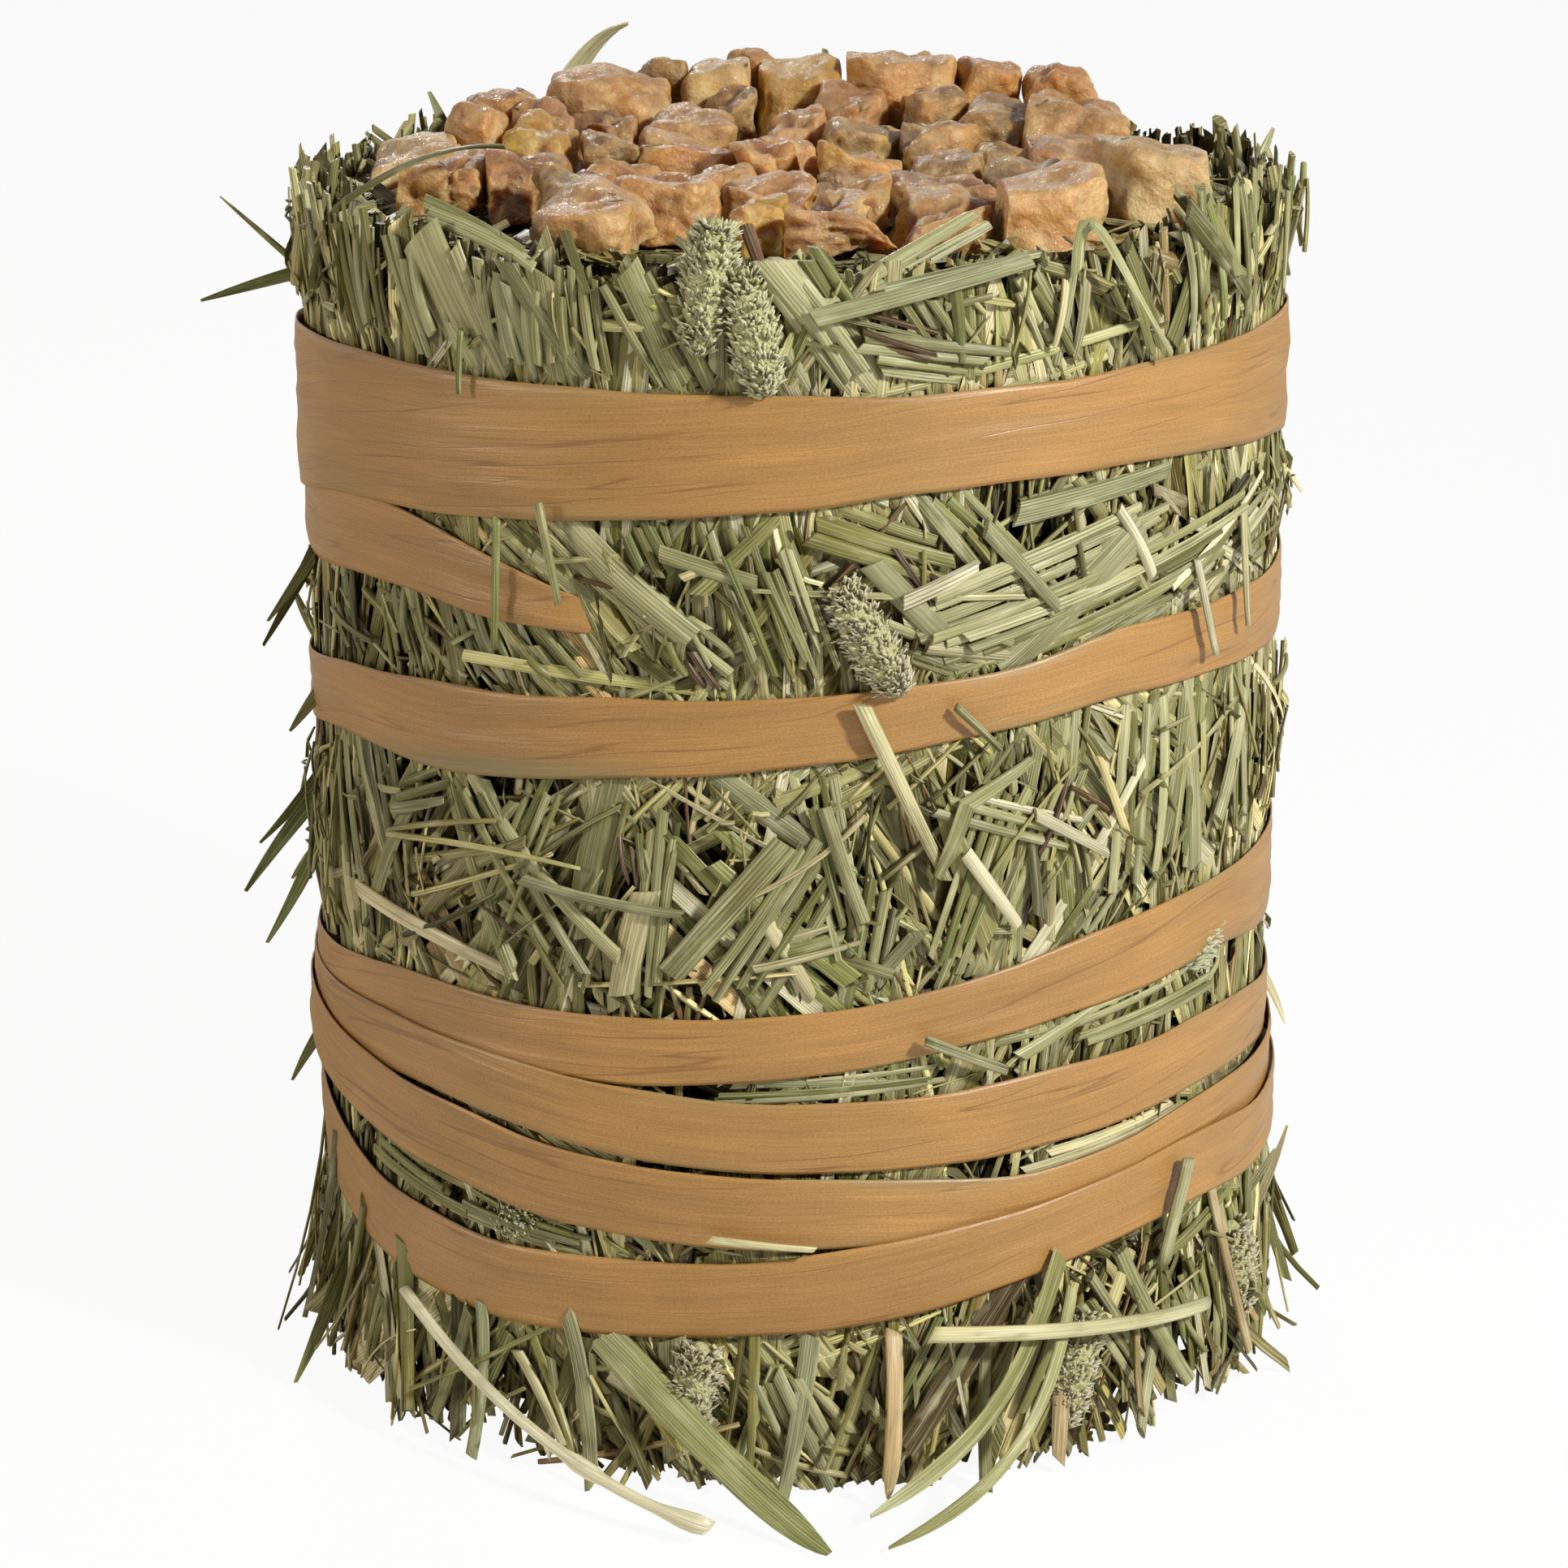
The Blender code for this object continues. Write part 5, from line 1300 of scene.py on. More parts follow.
class HAYBALE_OT_seed_heads(bpy.types.Operator):
    """Timothy seed heads: a spindle set with small bristly spikelets"""

    bl_idname = "haybale.seed_heads"
    bl_label = "Seed Heads"

    def execute(self, context):
        rng = np.random.default_rng(71)
        centre, facing, widths, thick, tones = [], [], [], [], []
        body = bmesh.new()
        tiers, in_tier = 23, 38
        per_head = tiers * in_tier
        for azimuth, height, tilt, half, tone in SEED_HEADS:
            turn = Matrix.Rotation(math.radians(azimuth), 3, "Z")
            lean = Matrix.Rotation(math.radians(tilt), 3, "Y")
            frame_of_head = np.array(turn @ lean)
            spot = on_bale(azimuth, 49.9 if half > 5 else 47.6, height)
            stretch = Matrix.Diagonal((2.2 * MM, 2.0 * MM, half * 0.97 * MM, 1.0))
            place = Matrix.Translation(Vector(spot) * MM) @ (turn @ lean).to_4x4() @ stretch
            bmesh.ops.create_uvsphere(body, u_segments=12, v_segments=10, radius=1.0, matrix=place)
            # Spikelets sit in tiers, each one bristling outwards and upwards over the next.
            tier = np.repeat(np.arange(tiers), in_tier)
            z = -0.98 + 1.9 * (tier + rng.normal(0, 0.22, per_head)) / tiers
            angle = rng.uniform(0, 2 * math.pi, per_head)
            ring = np.sqrt(np.clip(1 - np.abs(z) ** 3.0, 0.05, 1))
            ring = ring * (1 + 0.14 * np.sin(tier * 2.1 + angle))
            base = np.stack((1.8 * ring * np.cos(angle), 1.6 * ring * np.sin(angle), half * z), -1)
            out = np.stack((np.cos(angle), np.sin(angle), rng.uniform(0.3, 1.5, per_head)), -1)
            out = unit_vectors(out + rng.normal(0, 0.16, (per_head, 3)))
            reach = rng.uniform(0.7, 1.35, per_head)
            steps = np.array((0.0, 0.5, 1.0))
            line = base[:, None] + out[:, None] * (reach[:, None] * steps)[..., None]
            centre.append(line @ frame_of_head.T + spot)
            up = np.tile(np.array((0.0, 0.0, 1.0)), (per_head, 3, 1))
            facing.append((up + rng.normal(0, 0.4, (per_head, 1, 3))) @ frame_of_head.T)
            width = np.tile((0.50, 0.54, 0.1), (per_head, 1))
            widths.append(width * rng.uniform(0.6, 1.3, (per_head, 1)))
            thick.append(np.tile((0.3, 0.3, 0.1), (per_head, 1)))
            shades = ("#DEDAAC", "#C2C088") if tone == "green" else ("#DDD2AC", "#BDB088")
            pale, dull = (linear(c) for c in shades)
            share = rng.uniform(0, 1, per_head)[:, None]
            tones.append(np.array(pale) * share + np.array(dull) * (1 - share))
        count = per_head * len(SEED_HEADS)
        tones = np.concatenate(tones)
        stems = Stems(
            np.concatenate(centre), np.concatenate(facing), np.concatenate(widths),
            np.concatenate(thick), np.zeros(count), np.zeros(count), tones * 0.62, tones * 0.68,
            np.zeros(count))
        # Papery husks of the spikelets: matt and thin, so some light comes through them.
        material, tree, shader = new_material("spikelet_husk")
        set_inputs(tree, shader, {
            "Base Color": add_node(tree, "Attribute", attribute_name="tone").outputs["Color"],
            "Roughness": 0.6, "Specular IOR Level": 0.25, "Subsurface Weight": 0.5,
            "Subsurface Radius": (1.0, 0.9, 0.5), "Subsurface Scale": 0.0015})
        give_stems("seed_head_spikelets", stems, 3, rng, material)
        # Spindle of the head: dull green, mostly hidden by its spikelets.
        material, tree, shader = new_material("spindle_green")
        where = add_node(tree, "TexCoord").outputs["Object"]
        # Grains of half a millimetre.
        placed = add_node(tree, "Mapping", {"Vector": where, "Scale": (2000.0, 2000.0, 2000.0)})
        grain = add_node(tree, "TexNoise", {
            "Vector": placed, "Scale": 1.0, "Detail": 2.0, "Roughness": 0.55})
        set_inputs(tree, shader, {
            "Base Color": add_node(
                tree, "Mix", {0: grain, 6: opaque("#A5A36C"), 7: opaque("#BDBA8C")},
                data_type="RGBA"),
            "Roughness": 0.8,
            "Normal": add_node(
                tree, "Bump", {"Strength": 1.0, "Distance": 0.0006, "Height": grain}),
        })
        give_piece(mesh_object("seed_head_spindles", body), "hay", material)
        return {"FINISHED"}


class HAYBALE_OT_loose_pieces(bpy.types.Operator):
    """The long blades and stalks that stand clear of the bale"""

    bl_idname = "haybale.loose_pieces"
    bl_label = "Loose Pieces"

    def execute(self, context):
        rng = np.random.default_rng(81)
        stations = 26
        ts = np.linspace(0, 1, stations)
        for name, (points, width, thickness, cup, root, tip) in LOOSE_PIECES.items():
            controls = [Vector(point) for point in points]
            line = np.array([bezier(controls, t) for t in ts])
            facing = unit_vectors(line * (1, 1, 0)) + np.array((0, 0, 0.25))
            if thickness > 1.2:
                widths = width * (1 - 0.12 * ts)
                if name == "noded_stalk":
                    widths = widths + 0.7 * np.exp(-((ts - 0.62) / 0.04) ** 2)
                    widths = widths + 0.9 * np.exp(-((ts - 0.95) / 0.07) ** 2)
                thick = widths * 0.88
            else:
                widths = width * (1 - 0.8 * ts**8) * (0.95 + 0.05 * np.sin(ts * 9))
                thick = np.full(stations, thickness)
                facing = facing + 0.25 * np.sin(ts * 5)[:, None] * np.array((1, 0, 0))
            stems = Stems(
                line[None], facing[None], widths[None], thick[None], np.array((cup,)),
                np.array((0.5,)), np.array([linear(TONES[root])]), np.array([linear(TONES[tip])]),
                np.zeros(1))
            blade = "blade" in name
            slot = "leaf_blade" if blade else "straw"
            finish = hay_material() if blade else hay_material("smooth_culm", 0.3, 0.35)
            give_piece(join_stems(name + "_fine", stems, 14, rng), slot, finish, name)
        return {"FINISHED"}


def paper_material(settings):
    """Paper raffia: a twisted kraft strip opened flat.

    Its pulled fibres give a close lengthwise grain with darker creases and a soft satin sheen,
    and damp hay has stained its edges.
    """
    material, tree, shader = new_material("paper_raffia")
    strip = add_node(tree, "Attribute", attribute_name="strip").outputs["Vector"]
    stain = add_node(tree, "Attribute", attribute_name="stain").outputs["Fac"]
    slant = add_node(tree, "Mapping", {"Vector": strip, "Rotation": (0, 0, math.radians(4.0))})
    # Grain lines 0.15 and 0.5 mm apart, specks of 0.2 mm and clouds 15 mm long, creases and
    # bands of colour about 3 mm apart, of which the creases run slantwise and come and go.
    fine, grain, specks, cloud, crease, drift, thin = (
        add_node(tree, "TexNoise", {
            "Vector": add_node(tree, "Mapping", {"Vector": course, "Scale": scale}),
            "Scale": 1.0, "Detail": detail, "Roughness": roughness})
        for course, scale, detail, roughness in (
            (strip, (0.12, 6.0, 1.0), 3.0, 0.6), (strip, (0.05, 2.0, 1.0), 3.0, 0.55),
            (strip, (3.6, 6.0, 1.0), 2.0, 0.7), (strip, (0.06, 0.12, 1.0), 2.0, 0.55),
            (slant, (0.014, 0.36, 1.0), 2.0, 0.4), (strip, (0.025, 0.35, 2.0), 2.0, 0.55),
            (strip, (0.05, 0.30, 4.0), 1.0, 0.55))
    )
    main = tuple(settings.colour)
    darker_main = tuple(c * 0.88 for c in main)
    share = add_node(tree, "MapRange", (drift, 0.35, 0.65, 0.0, 1.0))
    colour = add_node(
        tree, "Mix", {0: share, 6: (*darker_main, 1.0), 7: (*main, 1.0)}, data_type="RGBA")
    colour = shaded_along(tree, colour, (
        (fine, 0.85, 1.10), (grain, 0.92, 1.06), (specks, 0.78, 1.15), (cloud, 0.90, 1.08)))
    # A crease is the thin line where the noise passes its middle.
    line = add_node(tree, "Math", (crease, 0.5), operation="SUBTRACT")
    line = add_node(tree, "Math", (line,), operation="ABSOLUTE")
    dark = add_node(tree, "MapRange", (line, 0.001, 0.013, 0.75, 0.0))
    some = add_node(tree, "MapRange", (thin, 0.44, 0.54, 0.0, 1.0))
    dark = add_node(tree, "Math", (dark, some), operation="MULTIPLY")
    colour = add_node(tree, "Mix", {0: dark, 6: colour, 7: opaque("#7D5426")}, data_type="RGBA")
    uneven = add_node(tree, "MapRange", (cloud, 0.35, 0.65, 0.5, 1.1))
    wet = add_node(tree, "Math", (stain, uneven), operation="MULTIPLY")
    colour = add_node(
        tree, "Mix", {0: wet, 6: colour, 7: (*settings.stain_colour, 1.0)}, data_type="RGBA")
    relief = add_node(tree, "Math", (fine, 0.35, grain), operation="MULTIPLY_ADD")
    relief = add_node(tree, "Math", (dark, -0.5, relief), operation="MULTIPLY_ADD")
    set_inputs(tree, shader, {
        "Base Color": colour,
        "Roughness": add_node(tree, "MapRange", (specks, 0.3, 0.7, 0.46, 0.40)),
        "Specular IOR Level": 0.56,
        "Normal": add_node(
            tree, "Bump", {"Strength": 0.45, "Distance": 0.00015, "Height": relief}),
    })
    return material


class HAYBALE_OT_paper_ribbon(bpy.types.Operator):
    """The strip of paper raffia wound round the bale"""

    bl_idname = "haybale.paper_ribbon"
    bl_label = "Paper Ribbon"

    def execute(self, context):
        settings = context.scene.bale_ribbon
        layers = ribbon_layers()
        steps = len(layers) - 1
        first = RIBBON_COURSE[0][0]
        wide = 18
        bm = bmesh.new()
        bmesh.ops.create_grid(bm, x_segments=steps, y_segments=wide, size=0.5)
        strip = bm.verts.layers.float_vector.new("strip")
        stain = bm.verts.layers.float.new("stain")
        edges = [course_at(first + i * RIBBON_STEP) for i in range(steps + 1)]
        for vert in bm.verts:
            step = round((vert.co.x + 0.5) * steps)
            share = vert.co.y + 0.5
            turned = first + step * RIBBON_STEP
            low, high = edges[step]
            run = math.radians(turned) * RIBBON_RADIUS
            low += 0.35 * noise.noise(Vector((run * 0.09, 3.1, 0)))
            high += 0.35 * noise.noise(Vector((run * 0.09, 9.7, 0)))
            height = low + (high - low) * share
            across = (high - low) * share
            fold = noise.noise(Vector((run * 0.035, across * 0.55, 1.7)))
            ripple = noise.noise(Vector((run * 0.07 + across * 0.2, across * 1.6, 5.2)))
            edge = abs(share - 0.5) * 2
            relief = settings.wrinkle / MM * (1.1 * fold + 0.55 * ripple) * (1 - 0.3 * edge**6)
            radius = RIBBON_RADIUS + 0.12 + layers[step] * RIBBON_LAYER_PITCH + relief
            # The edges dip a little, and the ribbon's first end is tucked into the hay.
            radius -= 0.10 * edge**8 + 1.6 * max(0.0, 1 - (turned - first) / 7) ** 2
            vert[strip] = (run, across, 0.0)
            # Damp has stained the lower edge of the third turn at the left, and worn edges.
            turn = from_front(-turned)
            lower_left = max(0.0, 1 - abs(turn + 35) / 24) * max(0.0, 1 - share * 3.2)
            third_turn = 1.0 if 735 < turned < 790 else 0.0
            worn = max(0.0, noise.noise(Vector((run * 0.05, 20.3, 0.4))) - 0.12)
            vert[stain] = min(1.0, 2.2 * lower_left * third_turn + 1.8 * worn * edge**5)
            angle = math.radians(-turned)
            vert.co = Vector((radius * math.sin(angle), -radius * math.cos(angle), height)) * MM
        bmesh.ops.recalc_face_normals(bm, faces=bm.faces)
        middle = min(bm.faces, key=lambda face: abs(face.calc_center_median().x))
        if middle.normal.dot(middle.calc_center_median() * Vector((1, 1, 0))) < 0:
            bmesh.ops.reverse_faces(bm, faces=bm.faces)
        bmesh.ops.solidify(bm, geom=bm.faces[:], thickness=settings.thickness)
        piece = mesh_object("paper_ribbon_fine", bm)
        give_piece(piece, "ribbon", paper_material(settings), "paper_ribbon")
        return {"FINISHED"}


def apple_material():
    """Dried apple flesh: cut dice shrunk by drying.

    The flesh is waxy and translucent, painted darker in its hollows and wrinkles as painted shade,
    with fine grains and wrinkles, and dried juice makes it glint in patches.
    """
    if "dried_apple_flesh" in bpy.data.materials:
        return bpy.data.materials["dried_apple_flesh"]
    material, tree, shader = new_material("dried_apple_flesh")
    flesh = add_node(tree, "Attribute", attribute_name="flesh").outputs["Color"]
    where = add_node(tree, "TexCoord").outputs["Object"]
    # Wrinkles about 1.2 mm apart, grains of 0.3 mm, clouds 4 mm wide, pale spots 2 mm wide and
    # sticky ones 0.8 mm wide: cells a metre, detail and roughness of each.
    folds, fine, cloud, spots, sticky = (
        add_node(tree, "TexNoise", {
            "Vector": add_node(tree, "Mapping", {"Vector": where, "Scale": (cells,) * 3}),
            "Scale": 1.0, "Detail": detail, "Roughness": roughness})
        for cells, detail, roughness in (
            (800.0, 2.0, 0.5), (3400.0, 3.0, 0.65), (260.0, 2.0, 0.55), (420.0, 3.0, 0.55),
            (1300.0, 4.0, 0.75))
    )
    # The flesh is painted a little darker where its wrinkles and grains sink, as painted shade.
    colour = shaded_along(tree, flesh, ((folds, 0.90, 1.08), (fine, 0.94, 1.05)))
    # Golden, pale and rosy parts.
    colour = patched(tree, colour, (
        (cloud, 0.50, 0.70, 0.5, "#C28434"), (spots, 0.50, 0.70, 0.5, "#D8BC82"),
        (cloud, 0.44, 0.28, 0.25, "#B9845F")))
    relief = add_node(tree, "Math", (fine, 0.35, folds), operation="MULTIPLY_ADD")
    set_inputs(tree, shader, {
        "Base Color": colour,
        "Roughness": add_node(tree, "MapRange", (sticky, 0.47, 0.58, 0.52, 0.14)),
        "Specular IOR Level": 0.42, "Subsurface Weight": 0.7,
        "Subsurface Radius": (1.0, 0.5, 0.25), "Subsurface Scale": 0.0030,
        "Normal": add_node(tree, "Bump", {"Strength": 0.8, "Distance": 0.0006, "Height": relief}),
    })
    return material


def pressed_back(point, plane, normal, soft):
    """Moves a point softly back behind a plane, as when two dice press on each other."""
    reach = (point - plane).dot(normal)
    if reach > -soft:
        point = point + normal * (-soft + soft * math.tanh((reach + soft) / soft) - reach)
    return point


def pressing_planes(index, rng):
    """The planes on which one die presses on its neighbours, and the bed's round edge."""
    x, y, width, depth, height, _ = APPLE_DICE[index]
    here = Vector((x, y, 0.0))
    planes = []
    for other, (ox, oy, other_width, other_depth, _, _) in enumerate(APPLE_DICE):
        offset = Vector((ox - x, oy - y, 0.0))
        if other == index or offset.length > 16.0:
            continue
        share = (width + depth) / (width + depth + other_width + other_depth)
        toward = offset.normalized()
        leant = (toward + Vector((0, 0, rng.uniform(-0.18, 0.18)))).normalized()
        place = here + Vector((0, 0, APPLE_FLOOR + 0.48 * height)) + offset * share
        planes.append((place - toward * 0.05, leant))
    outward = here.normalized()
    planes.append((outward * (APPLE_REACH + 0.8), outward))
    return planes


def shrivelled_dice(index, wrinkle):
    """One apple die: a soft block sunk between its edges, warped, creased and pressed."""
    x, y, width, depth, height, turn = APPLE_DICE[index]
    name, rough, power = APPLE_LOOKS[index]
    power = 0.8 + 0.62 * power
    rng = random.Random(900 + index)
    seed = Vector((index * 7.31, index * 3.17, index * 5.77))
    half = Vector((width * APPLE_SPREAD, depth * APPLE_SPREAD * 1.15, height * 1.06)) / 2
    centre = Vector((x, y, APPLE_FLOOR + 0.48 * height))
    lean = 3 + 5 * rough
    turned = Matrix.Rotation(math.radians(turn + rng.uniform(-8, 8) * rough), 3, "Z")
    turned = turned @ Matrix.Rotation(math.radians(rng.uniform(-lean, lean)), 3, "X")
    turned = turned @ Matrix.Rotation(math.radians(rng.uniform(-lean, lean)), 3, "Y")
    sunk_by = [rng.uniform(0.02, 0.10 + 0.10 * rough) for _ in range(6)]
    curl = rng.uniform(0.1, 0.4) * (0.2 + 0.8 * rough)
    warp = 1.6 + 1.3 * rough
    # Each crease is a wavy plane through the die along which the flesh has drawn in.
    creases = []
    for _ in range(rng.choice((0, 1)) if rough < 0.5 else rng.choice((1, 2, 3)) + round(rough)):
        lie = Vector((rng.uniform(-1, 1), rng.uniform(-1, 1), rng.uniform(-0.6, 0.6))).normalized()
        place = rng.uniform(-0.6, 0.6) * half.x
        creases.append((lie, place, rng.uniform(0.4, 1.2) * rough, rng.uniform(0.45, 1.0)))
    planes = pressing_planes(index, rng)

    bm = bmesh.new()
    bmesh.ops.create_cube(bm, size=2.0)
    bmesh.ops.subdivide_edges(bm, edges=bm.edges[:], cuts=16, use_grid_fill=True)
    colour = bm.verts.layers.float_color.new("flesh")
    flesh, hollow_shade = (Vector(linear(c)) for c in APPLE_TONES[name])
    dry = Vector(bpy.context.scene.bale_apple.rim_colour)
    other_tones = [Vector(linear(APPLE_TONES[c][0])) for c in rng.sample(sorted(APPLE_TONES), 2)]
    for vert in bm.verts:
        p = vert.co.copy()
        reach = sorted(abs(c) for c in p)
        rim = max(0.0, reach[1] - 0.6) / 0.4
        top = max(0.0, p.z) ** 5
        # The cube becomes a soft block whose sides have sunk between their edges.
        p /= (abs(p.x) ** power + abs(p.y) ** power + abs(p.z) ** power) ** (1 / power)
        sunk = 0.0
        for axis in range(3):
            side = sunk_by[2 * axis + (p[axis] > 0)]
            a, b = p[(axis + 1) % 3], p[(axis + 2) % 3]
            sunk += side * abs(p[axis]) ** 3 * max(0.0, 1 - a * a) * max(0.0, 1 - b * b)
        p *= 1.0 - sunk
        p = Vector((p.x * half.x, p.y * half.y, p.z * half.z))
        # It is bent, drawn in along its creases, and covered with folds, lumps and crinkles.
        out = p.normalized()
        bent = [noise.noise(p * 0.13 + seed + Vector((17.3 * k, 5.1, 9.7 * k))) for k in (1, 2, 3)]
        p += Vector(bent) * warp
        drawn = 0.0
        for lie, place, deep, wide in creases:
            off = p.dot(lie) - place + 1.5 * noise.noise(p * 0.24 + seed * 1.9)
            drawn += deep * math.exp(-(off / wide) ** 2)
        fold = max(0.0, 0.22 - abs(noise.noise(p * 0.34 + seed * 1.7))) / 0.22
        lump = noise.noise(p * 0.3 + seed * 1.3)
        knob = noise.noise(p * 0.55 + seed * 2.3)
        crinkle = abs(noise.noise(p * 0.75 + seed * 0.7)) - 0.15
        grown = 0.8 * lump + 0.45 * knob - drawn - wrinkle * rough * fold**1.5 + curl * rim * rim
        p += out * grown
        p -= out * crinkle * (0.15 + 0.8 * rough)
        # Its neighbours, the bed's edge and the bale press it flat.
        p = centre + turned @ p
        for plane, normal in planes:
            p = pressed_back(p, plane, normal, 0.9)
        p = pressed_back(p, Vector((0, 0, APPLE_FLOOR)), Vector((0, 0, -1)), 0.7)
        # Its flesh has patches of other tones and is pale on dry edges. It is painted dark in its
        # hollows and creases, and less so on its knobs and edges, as painted shade.
        shade = 0.8 * drawn + 1.2 * sunk + 0.4 * fold * rough + 0.7 * crinkle
        shade = shade - 0.3 * rim - 0.4 * knob
        tone = flesh.lerp(other_tones[0], min(max(1.3 * noise.noise(p * 0.15 + seed), 0.0), 0.45))
        tone = tone.lerp(
            other_tones[1], min(max(1.3 * noise.noise(p * 0.2 + seed * 1.4), 0.0), 0.35))
        # The flat top is painted darker, as painted shade.
        tone = Vector(c * (1 - loss * top) for c, loss in zip(tone, APPLE_TOP_SHADE))
        tone = tone.lerp(hollow_shade, min(max(shade, 0.0), 1.0) * 0.85)
        proud = max(0.0, rim * 0.7 + lump * 0.5 - drawn) * (1 - 0.6 * top)
        tone = tone.lerp(dry, min(proud, 1.0) * 0.35)
        tone = Vector(c * left for c, left in zip(tone, APPLE_BROWNING))
        vert[colour] = (*tone, 1.0)
        vert.co = p * MM
    bmesh.ops.smooth_vert(
        bm, verts=bm.verts[:], factor=0.35, use_axis_x=True, use_axis_y=True, use_axis_z=True)
    return bm


class HAYBALE_OT_apple_dice(bpy.types.Operator):
    """The dried apple dice pressed on the bale's top"""

    bl_idname = "haybale.apple_dice"
    bl_label = "Apple Dice"

    def execute(self, context):
        wrinkle = context.scene.bale_apple.wrinkle / MM
        picker = random.Random(95)
        spots = []
        for index in range(len(APPLE_DICE)):
            node = f"apple_dice_{index + 1:02d}"
            bm = shrivelled_dice(index, wrinkle)
            bm.normal_update()
            tops = [v for v in bm.verts if v.normal.z > 0.7]
            crumbs = picker.sample(tops, picker.choice((0, 1, 1, 2)))
            spots += [(v.co / MM, v.normal.copy()) for v in crumbs]
            give_piece(mesh_object(node + "_fine", bm), "dried_apple", apple_material(), node)

        # Crumbs of hay stuck to the dice.
        rng = np.random.default_rng(96)
        count = len(spots)
        spot = np.array([place for place, _ in spots])
        normal = np.array([up for _, up in spots])
        heading = unit_vectors(np.cross(normal, rng.normal(0, 1, (count, 3))))
        run = rng.uniform(0.5, 1.9, count)[:, None, None] * np.linspace(-0.5, 0.5, 3)[None, :, None]
        width = rng.uniform(0.12, 0.35, count)[:, None] * np.ones((1, 3))
        root, tip = pick_tones(rng, count, (("dark_olive", 3), ("brown", 2), ("olive", 3)), 0.8)
        stems = Stems(
            (spot + normal * 0.12)[:, None] + heading[:, None] * run,
            np.repeat(normal[:, None], 3, axis=1), width, width * 0.5, np.zeros(count),
            np.zeros(count), root, tip, np.zeros(count))
        give_stems("apple_crumbs", stems, 4, rng)
        return {"FINISHED"}


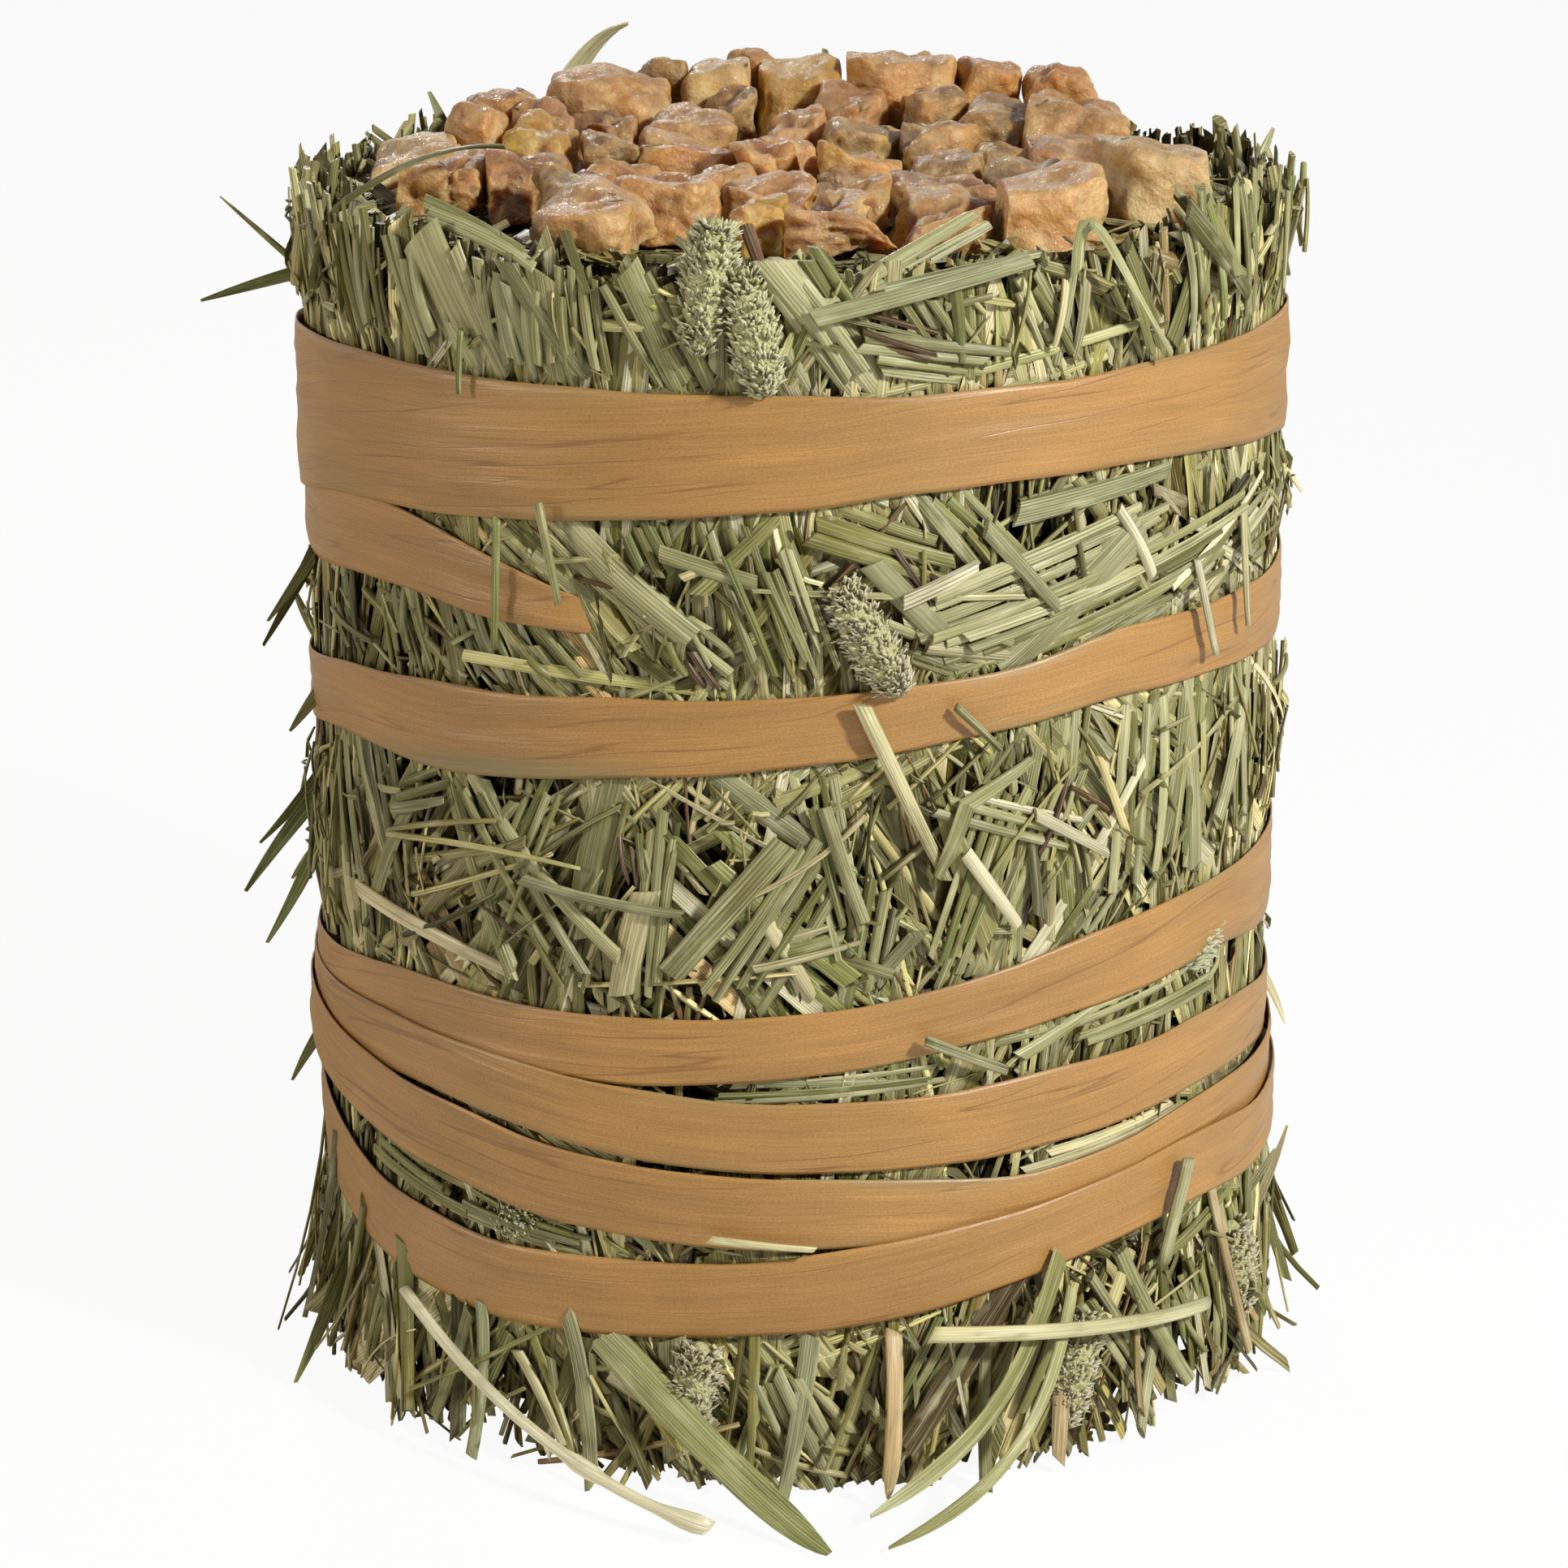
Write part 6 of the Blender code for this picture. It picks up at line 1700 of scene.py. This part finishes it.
class HAYBALE_OT_stage(bpy.types.Operator):
    """The pale floor, the soft light and the camera"""

    bl_idname = "haybale.stage"
    bl_label = "Stage"

    def execute(self, context):
        settings = context.scene.bale_stage
        scene = context.scene
        bm = bmesh.new()
        bmesh.ops.create_grid(bm, x_segments=2, y_segments=2, size=3.0)
        floor = mesh_object("floor", bm, smooth=False)
        scene.collection.objects.link(floor)
        # Matt white board: even and without gloss, and the camera sees it near white, so that
        # only the shadow shows on it.
        material, tree, shader = new_material("matt_board")
        set_inputs(
            tree, shader, {"Base Color": (*settings.floor_colour, 1.0), "Roughness": 0.9})
        rays = add_node(tree, "LightPath").outputs
        seen = add_node(tree, "Math", (rays["Is Camera Ray"], 0.94), operation="MULTIPLY")
        white = add_node(tree, "Emission", {"Color": (1, 1, 1, 1), "Strength": 1.0})
        lit = add_node(tree, "MixShader", (seen, shader, white))
        set_inputs(tree, tree.nodes["Material Output"], {"Surface": lit})
        floor.data.materials.append(material)

        for name, place, size, power, colour in LAMPS:
            lamp = bpy.data.lights.new(name, "AREA")
            lamp.shape = "DISK"
            lamp.size = size
            lamp.energy = getattr(settings, power)
            lamp.color = colour
            holder = bpy.data.objects.new(name, lamp)
            holder.location = place
            aim = LAMP_AIM - Vector(place)
            holder.rotation_euler = aim.to_track_quat("-Z", "Y").to_euler()
            scene.collection.objects.link(holder)

        world = bpy.data.worlds.new("studio")
        world.use_nodes = True
        tree = world.node_tree
        tree.nodes.clear()
        rays = add_node(tree, "LightPath").outputs
        seen = rays["Is Camera Ray"]
        for other in ("Is Glossy Ray", "Is Transmission Ray"):
            seen = add_node(tree, "Math", (seen, rays[other]), operation="MAXIMUM")
        even = add_node(tree, "Background", {"Color": SKY_COLOUR, "Strength": settings.sky})
        white = add_node(tree, "Background", {"Color": (1, 1, 1, 1), "Strength": 1.0})
        add_node(tree, "OutputWorld", {
            "Surface": add_node(tree, "MixShader", (seen, even, white))})
        scene.world = world
        scene.view_settings.view_transform = "Standard"

        camera = bpy.data.cameras.new("camera")
        camera.sensor_width = 36.0
        camera.lens = CAMERA_LENS
        camera.clip_start = 0.01
        eye = bpy.data.objects.new("camera", camera)
        eye.location = CAMERA_PLACE
        eye.rotation_euler = (math.radians(90 - CAMERA_TILT), 0, 0)
        scene.collection.objects.link(eye)
        scene.camera = eye
        return {"FINISHED"}


class HAYBALE_PT_panel(bpy.types.Panel):
    """The bale's settings and the steps that make it"""

    bl_label = "Round Hay Bale"
    bl_idname = "HAYBALE_PT_panel"
    bl_space_type = "VIEW_3D"
    bl_region_type = "UI"
    bl_category = "Hay Bale"

    def draw(self, context):
        for title, settings in (
            ("Hay", context.scene.bale_hay), ("Ribbon", context.scene.bale_ribbon),
            ("Apple", context.scene.bale_apple), ("Stage", context.scene.bale_stage),
        ):
            box = self.layout.box()
            box.label(text=title)
            for field in settings.__annotations__:
                box.prop(settings, field)
        for step in STEPS:
            self.layout.operator(step.bl_idname)


SETTINGS = {
    "bale_hay": HaySettings, "bale_ribbon": RibbonSettings, "bale_apple": AppleSettings,
    "bale_stage": StageSettings,
}
STEPS = (
    HAYBALE_OT_stage, HAYBALE_OT_pressed_mass, HAYBALE_OT_side_stems, HAYBALE_OT_rim_stems,
    HAYBALE_OT_foot_stems, HAYBALE_OT_chaff, HAYBALE_OT_stray_stems, HAYBALE_OT_seed_heads,
    HAYBALE_OT_loose_pieces, HAYBALE_OT_paper_ribbon, HAYBALE_OT_apple_dice,
)


def register():
    """Adds the bale's settings, steps and panel."""
    for name, group in SETTINGS.items():
        bpy.utils.register_class(group)
        setattr(bpy.types.Scene, name, bpy.props.PointerProperty(type=group))
    for step in STEPS:
        bpy.utils.register_class(step)
    bpy.utils.register_class(HAYBALE_PT_panel)


def unregister():
    """Takes the bale's settings, steps and panel away."""
    bpy.utils.unregister_class(HAYBALE_PT_panel)
    for step in reversed(STEPS):
        bpy.utils.unregister_class(step)
    for name, group in SETTINGS.items():
        delattr(bpy.types.Scene, name)
        bpy.utils.unregister_class(group)


def main():
    """Makes the whole bale."""
    register()
    for step in STEPS:
        _, name = step.bl_idname.split(".")
        getattr(bpy.ops.haybale, name)()
    bpy.context.view_layer.update()
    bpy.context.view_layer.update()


if __name__ == "__main__":
    main()
